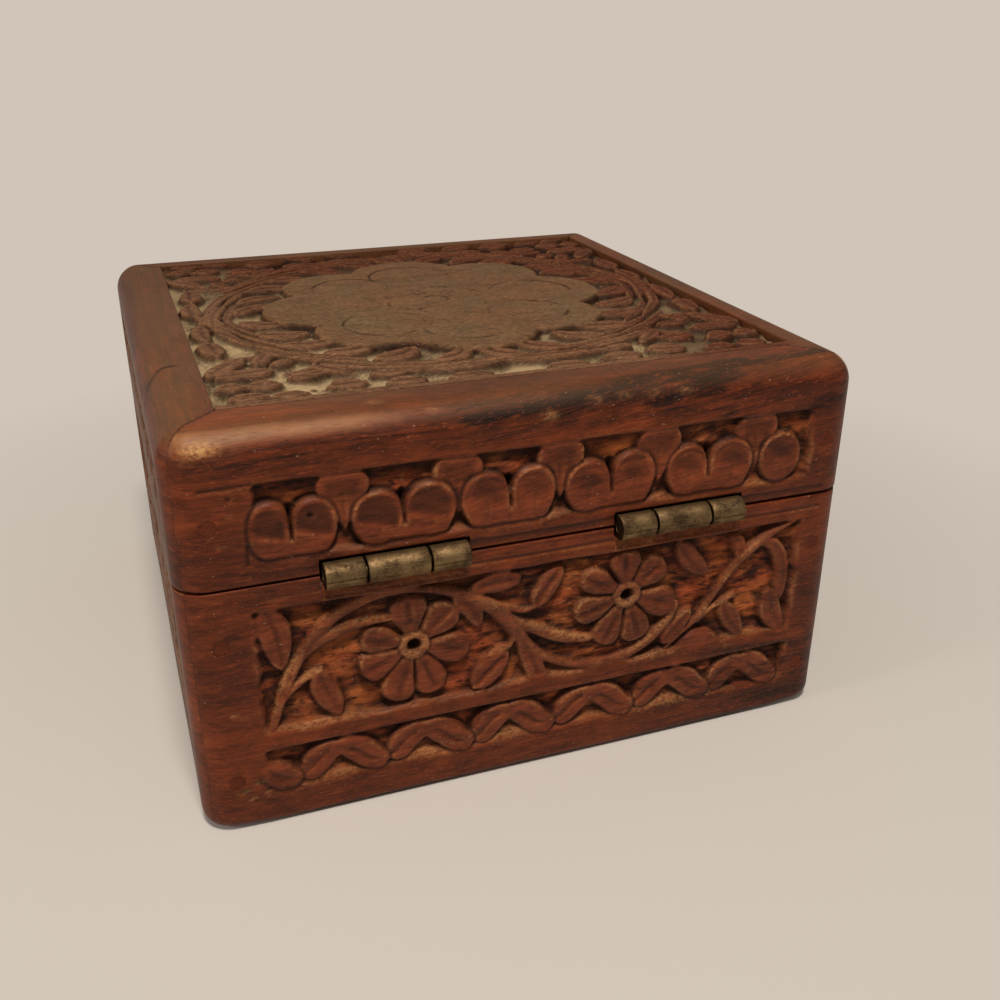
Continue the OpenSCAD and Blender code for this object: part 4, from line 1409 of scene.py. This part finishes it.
def screwInto(target, place, up, turn):
    # countersunk head with a slot, and a tapering shank
    head, shank, length = hinge["screwHead"] / 2, hinge["screwShank"] / 2, hinge["screwLength"]
    profile = [(0, 0), (0, head - 0.12), (-0.05, head - 0.02), (-0.12, head - 0.04), (-0.81, shank)]
    for k in range(hinge["threads"]):
        x = -1.6 - (length - 2.9) * k / hinge["threads"]
        profile += [(x, shank * 0.78), (x - 0.2, shank * 0.98), (x - 0.3, shank * 0.78)]
    profile += [(-length + 0.9, shank * 0.7), (-length, 0.05)]
    bm = spun(profile, 32)
    turned(bm, -math.pi / 2, "Y")
    for side in (-1, 1):
        bmesh.ops.bisect_plane(bm, geom=bm.verts[:] + bm.edges[:] + bm.faces[:], plane_no=(0, 1, 0),
                               plane_co=(0, side * hinge["slotHalf"], 0))
    slot = []
    for face in bm.faces:
        x, y, z = face.calc_center_median()
        if abs(y) < hinge["slotHalf"] and z > -0.01:
            slot.append(face)
    grown = bmesh.ops.extrude_face_region(bm, geom=slot)["geom"]
    bmesh.ops.translate(bm, verts=only(grown, "BMVert"), vec=(0, 0, -hinge["slotDepth"]))
    bmesh.ops.delete(bm, geom=[f for f in slot if f.is_valid], context="FACES_ONLY")
    turned(bm, turn, "Z")
    if up > 0:
        turned(bm, math.pi, "X")
    bmesh.ops.recalc_face_normals(bm, faces=bm.faces)
    moved(bm, *place)
    joinInto(target, bm)


def screwSet(name, up, seed):
    rng = np.random.default_rng(seed)
    bm = bmesh.new()
    for centre in hinge["centres"]:
        for way in (-1, 1):
            place = (centre + way * hinge["screwAlong"], hinge["screwY"], hinge["axisZ"] + up * 0.2)
            screwInto(bm, place, up, rng.uniform(0, math.pi))
    return pieceFrom(bm, name, 35)


for label, centre in zip(("left", "right"), hinge["centres"]):
    edge, inner = hinge["half"], hinge["middleHalf"]
    gap = inner + hinge["knuckleGap"]
    lower = leafMesh(f"{label}_hinge_lower_leaf", centre, -1, ((-edge, -gap), (gap, edge)))
    finishPiece(lower, "body", "hinge_brass", f"{label}_hinge_body_leaf")
    upper = leafMesh(f"{label}_hinge_upper_leaf", centre, 1, ((-inner, inner),))
    finishPiece(upper, "lid", "hinge_brass", f"{label}_hinge_lid_leaf")
    finishPiece(pinMesh(f"{label}_pin_domed", centre), "body", "hinge_brass", f"{label}_hinge_pin")
finishPiece(screwSet("body_screws_slotted", -1, 3), "body", "screw_brass", "body_hinge_screws")
finishPiece(screwSet("lid_screws_slotted", 1, 4), "lid", "screw_brass", "lid_hinge_screws")
print("hinges made")


def plugSet(name, heights, seed):
    rng = np.random.default_rng(seed)
    bm = bmesh.new()
    r, thick = plugs["radius"], plugs["thick"]
    for way in (-1, 1):
        for x in (-plugs["x"], plugs["x"]):
            for height in heights:
                sunk = rng.uniform(0.07, 0.09)
                disc = spun([(-thick, 0), (-thick, r - 0.05), (-0.15 - sunk, r), (-sunk - 0.03, r - 0.1),
                             (-sunk, r - 0.3), (-sunk - 0.02, r * 0.5), (-sunk - 0.05, 0)], 28)
                first, second, _ = rng.uniform(0, math.tau, 3)
                for vert in disc.verts:  # the filler shrank unevenly
                    angle = math.atan2(vert.co.z, vert.co.y)
                    grow = 1 - 0.03 * math.sin(2 * angle + first) ** 2
                    grow -= 0.02 * math.sin(3 * angle + second) ** 2
                    vert.co.y *= grow
                    vert.co.z *= grow
                turned(disc, math.pi / 2 * way, "Z")
                moved(disc, x, way * case["half"], height)
                joinInto(bm, disc)
    return pieceFrom(bm, name, 50)


finishPiece(plugSet("body_plugs_shrunk", plugs["body"], 5), "body", "plug_filler", "body_nail_plugs")
finishPiece(plugSet("lid_plugs_shrunk", plugs["lid"], 6), "lid", "plug_filler", "lid_nail_plugs")

# CAD nodes that stay as they are
for name, slot in (("body_floor", "inner_wood"), ("body_corner_nails", "nail_steel"),
                   ("lid_corner_nails", "nail_steel")):
    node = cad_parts[name]
    node.data.materials.clear()
    node.data.materials.append(materials[slot])
print("plugs, floor and nails done")

stage = {
    "size": 30.0,
    "colour": (206, 198, 190),
    "background": (208, 197, 184),
    "near": 0.06,  # metres: how far out the floor shows its own shading
    "far": 0.17,
    "sky": (1.0, 0.975, 0.94, 1),
    "skyStrength": 0.21,
    "lamp": (1.0, 0.94, 0.86),
    "aim": (0, 0, 0.03),
    "overhead": ((0.06, 0.26, 0.62), 0.12, 3.4),  # place, size and power
    "left": ((0.62, 0.1, 0.34), 0.14, 0.9),
}
backdrop = linear(*stage["background"])


def makeFloor():
    bm = bmesh.new()
    bmesh.ops.create_grid(bm, x_segments=2, y_segments=2, size=stage["size"] / 2)
    mesh = bpy.data.meshes.new("studio_floor")
    bm.to_mesh(mesh)
    bm.free()
    floor = addObject("studio_floor", mesh)
    floor.location.z = -0.0002
    material, n = newMaterial("paleFloor", stage)
    n.feed(n.shader, {"Base Color": linear(*stage["colour"]), "Roughness": 0.9})
    # far out the camera sees the plain background, and near the box the floor with its shadow
    away = n.put("VectorMath", {0: n.put("TexCoord").outputs["Object"]}, operation="LENGTH").outputs["Value"]
    path = n.put("LightPath").outputs
    bounced = n.maths("MAXIMUM", path["Is Glossy Ray"], path["Is Transmission Ray"])
    seen = n.maths("MAXIMUM", path["Is Camera Ray"], bounced)
    plain = n.put("Emission", {"Color": backdrop, "Strength": 1})
    share = n.times(n.step(away, stage["near"], stage["far"]), seen)
    mixed = n.put("MixShader", {0: share, 1: n.shader.outputs[0], 2: plain.outputs[0]})
    n.feed(n.tree.nodes["Material Output"], {"Surface": mixed.outputs[0]})
    mesh.materials.append(material)


makeFloor()
for name in ("overhead", "left"):
    place, size, power = stage[name]
    light = bpy.data.lights.new(name, "AREA")
    light.shape, light.size, light.energy, light.color = "DISK", size, power, stage["lamp"]
    lamp = addObject(name, light)
    lamp.location = place
    lamp.rotation_euler = (Vector(stage["aim"]) - Vector(place)).to_track_quat("-Z", "Y").to_euler()

world = bpy.data.worlds.new("studio")
bpy.context.scene.world = world
world.use_nodes = True
n = Nodes(world.node_tree)
lit = n.tree.nodes["Background"]
n.feed(lit, {"Color": stage["sky"], "Strength": stage["skyStrength"]})
path = n.put("LightPath").outputs
seen = n.maths("MAXIMUM", path["Is Camera Ray"], path["Is Transmission Ray"])
shown = n.put("Background", {"Color": backdrop, "Strength": 1})
mixed = n.put("MixShader", {0: seen, 1: lit.outputs[0], 2: shown.outputs[0]})
n.feed(n.tree.nodes["World Output"], {"Surface": mixed.outputs[0]})

view = {"place": (0.05377, 0.17908, 0.10896), "turn": (65.22532, -0.11478, 159.87833), "lens": 39.58704}
lens = bpy.data.cameras.new("camera")
lens.lens, lens.sensor_width, lens.clip_start = view["lens"], 36.0, 0.005
camera = addObject("camera", lens)
camera.location = view["place"]
camera.rotation_euler = Euler([math.radians(a) for a in view["turn"]])
bpy.context.scene.camera = camera
bpy.context.scene.view_settings.view_transform = "Standard"
print("stage ready")
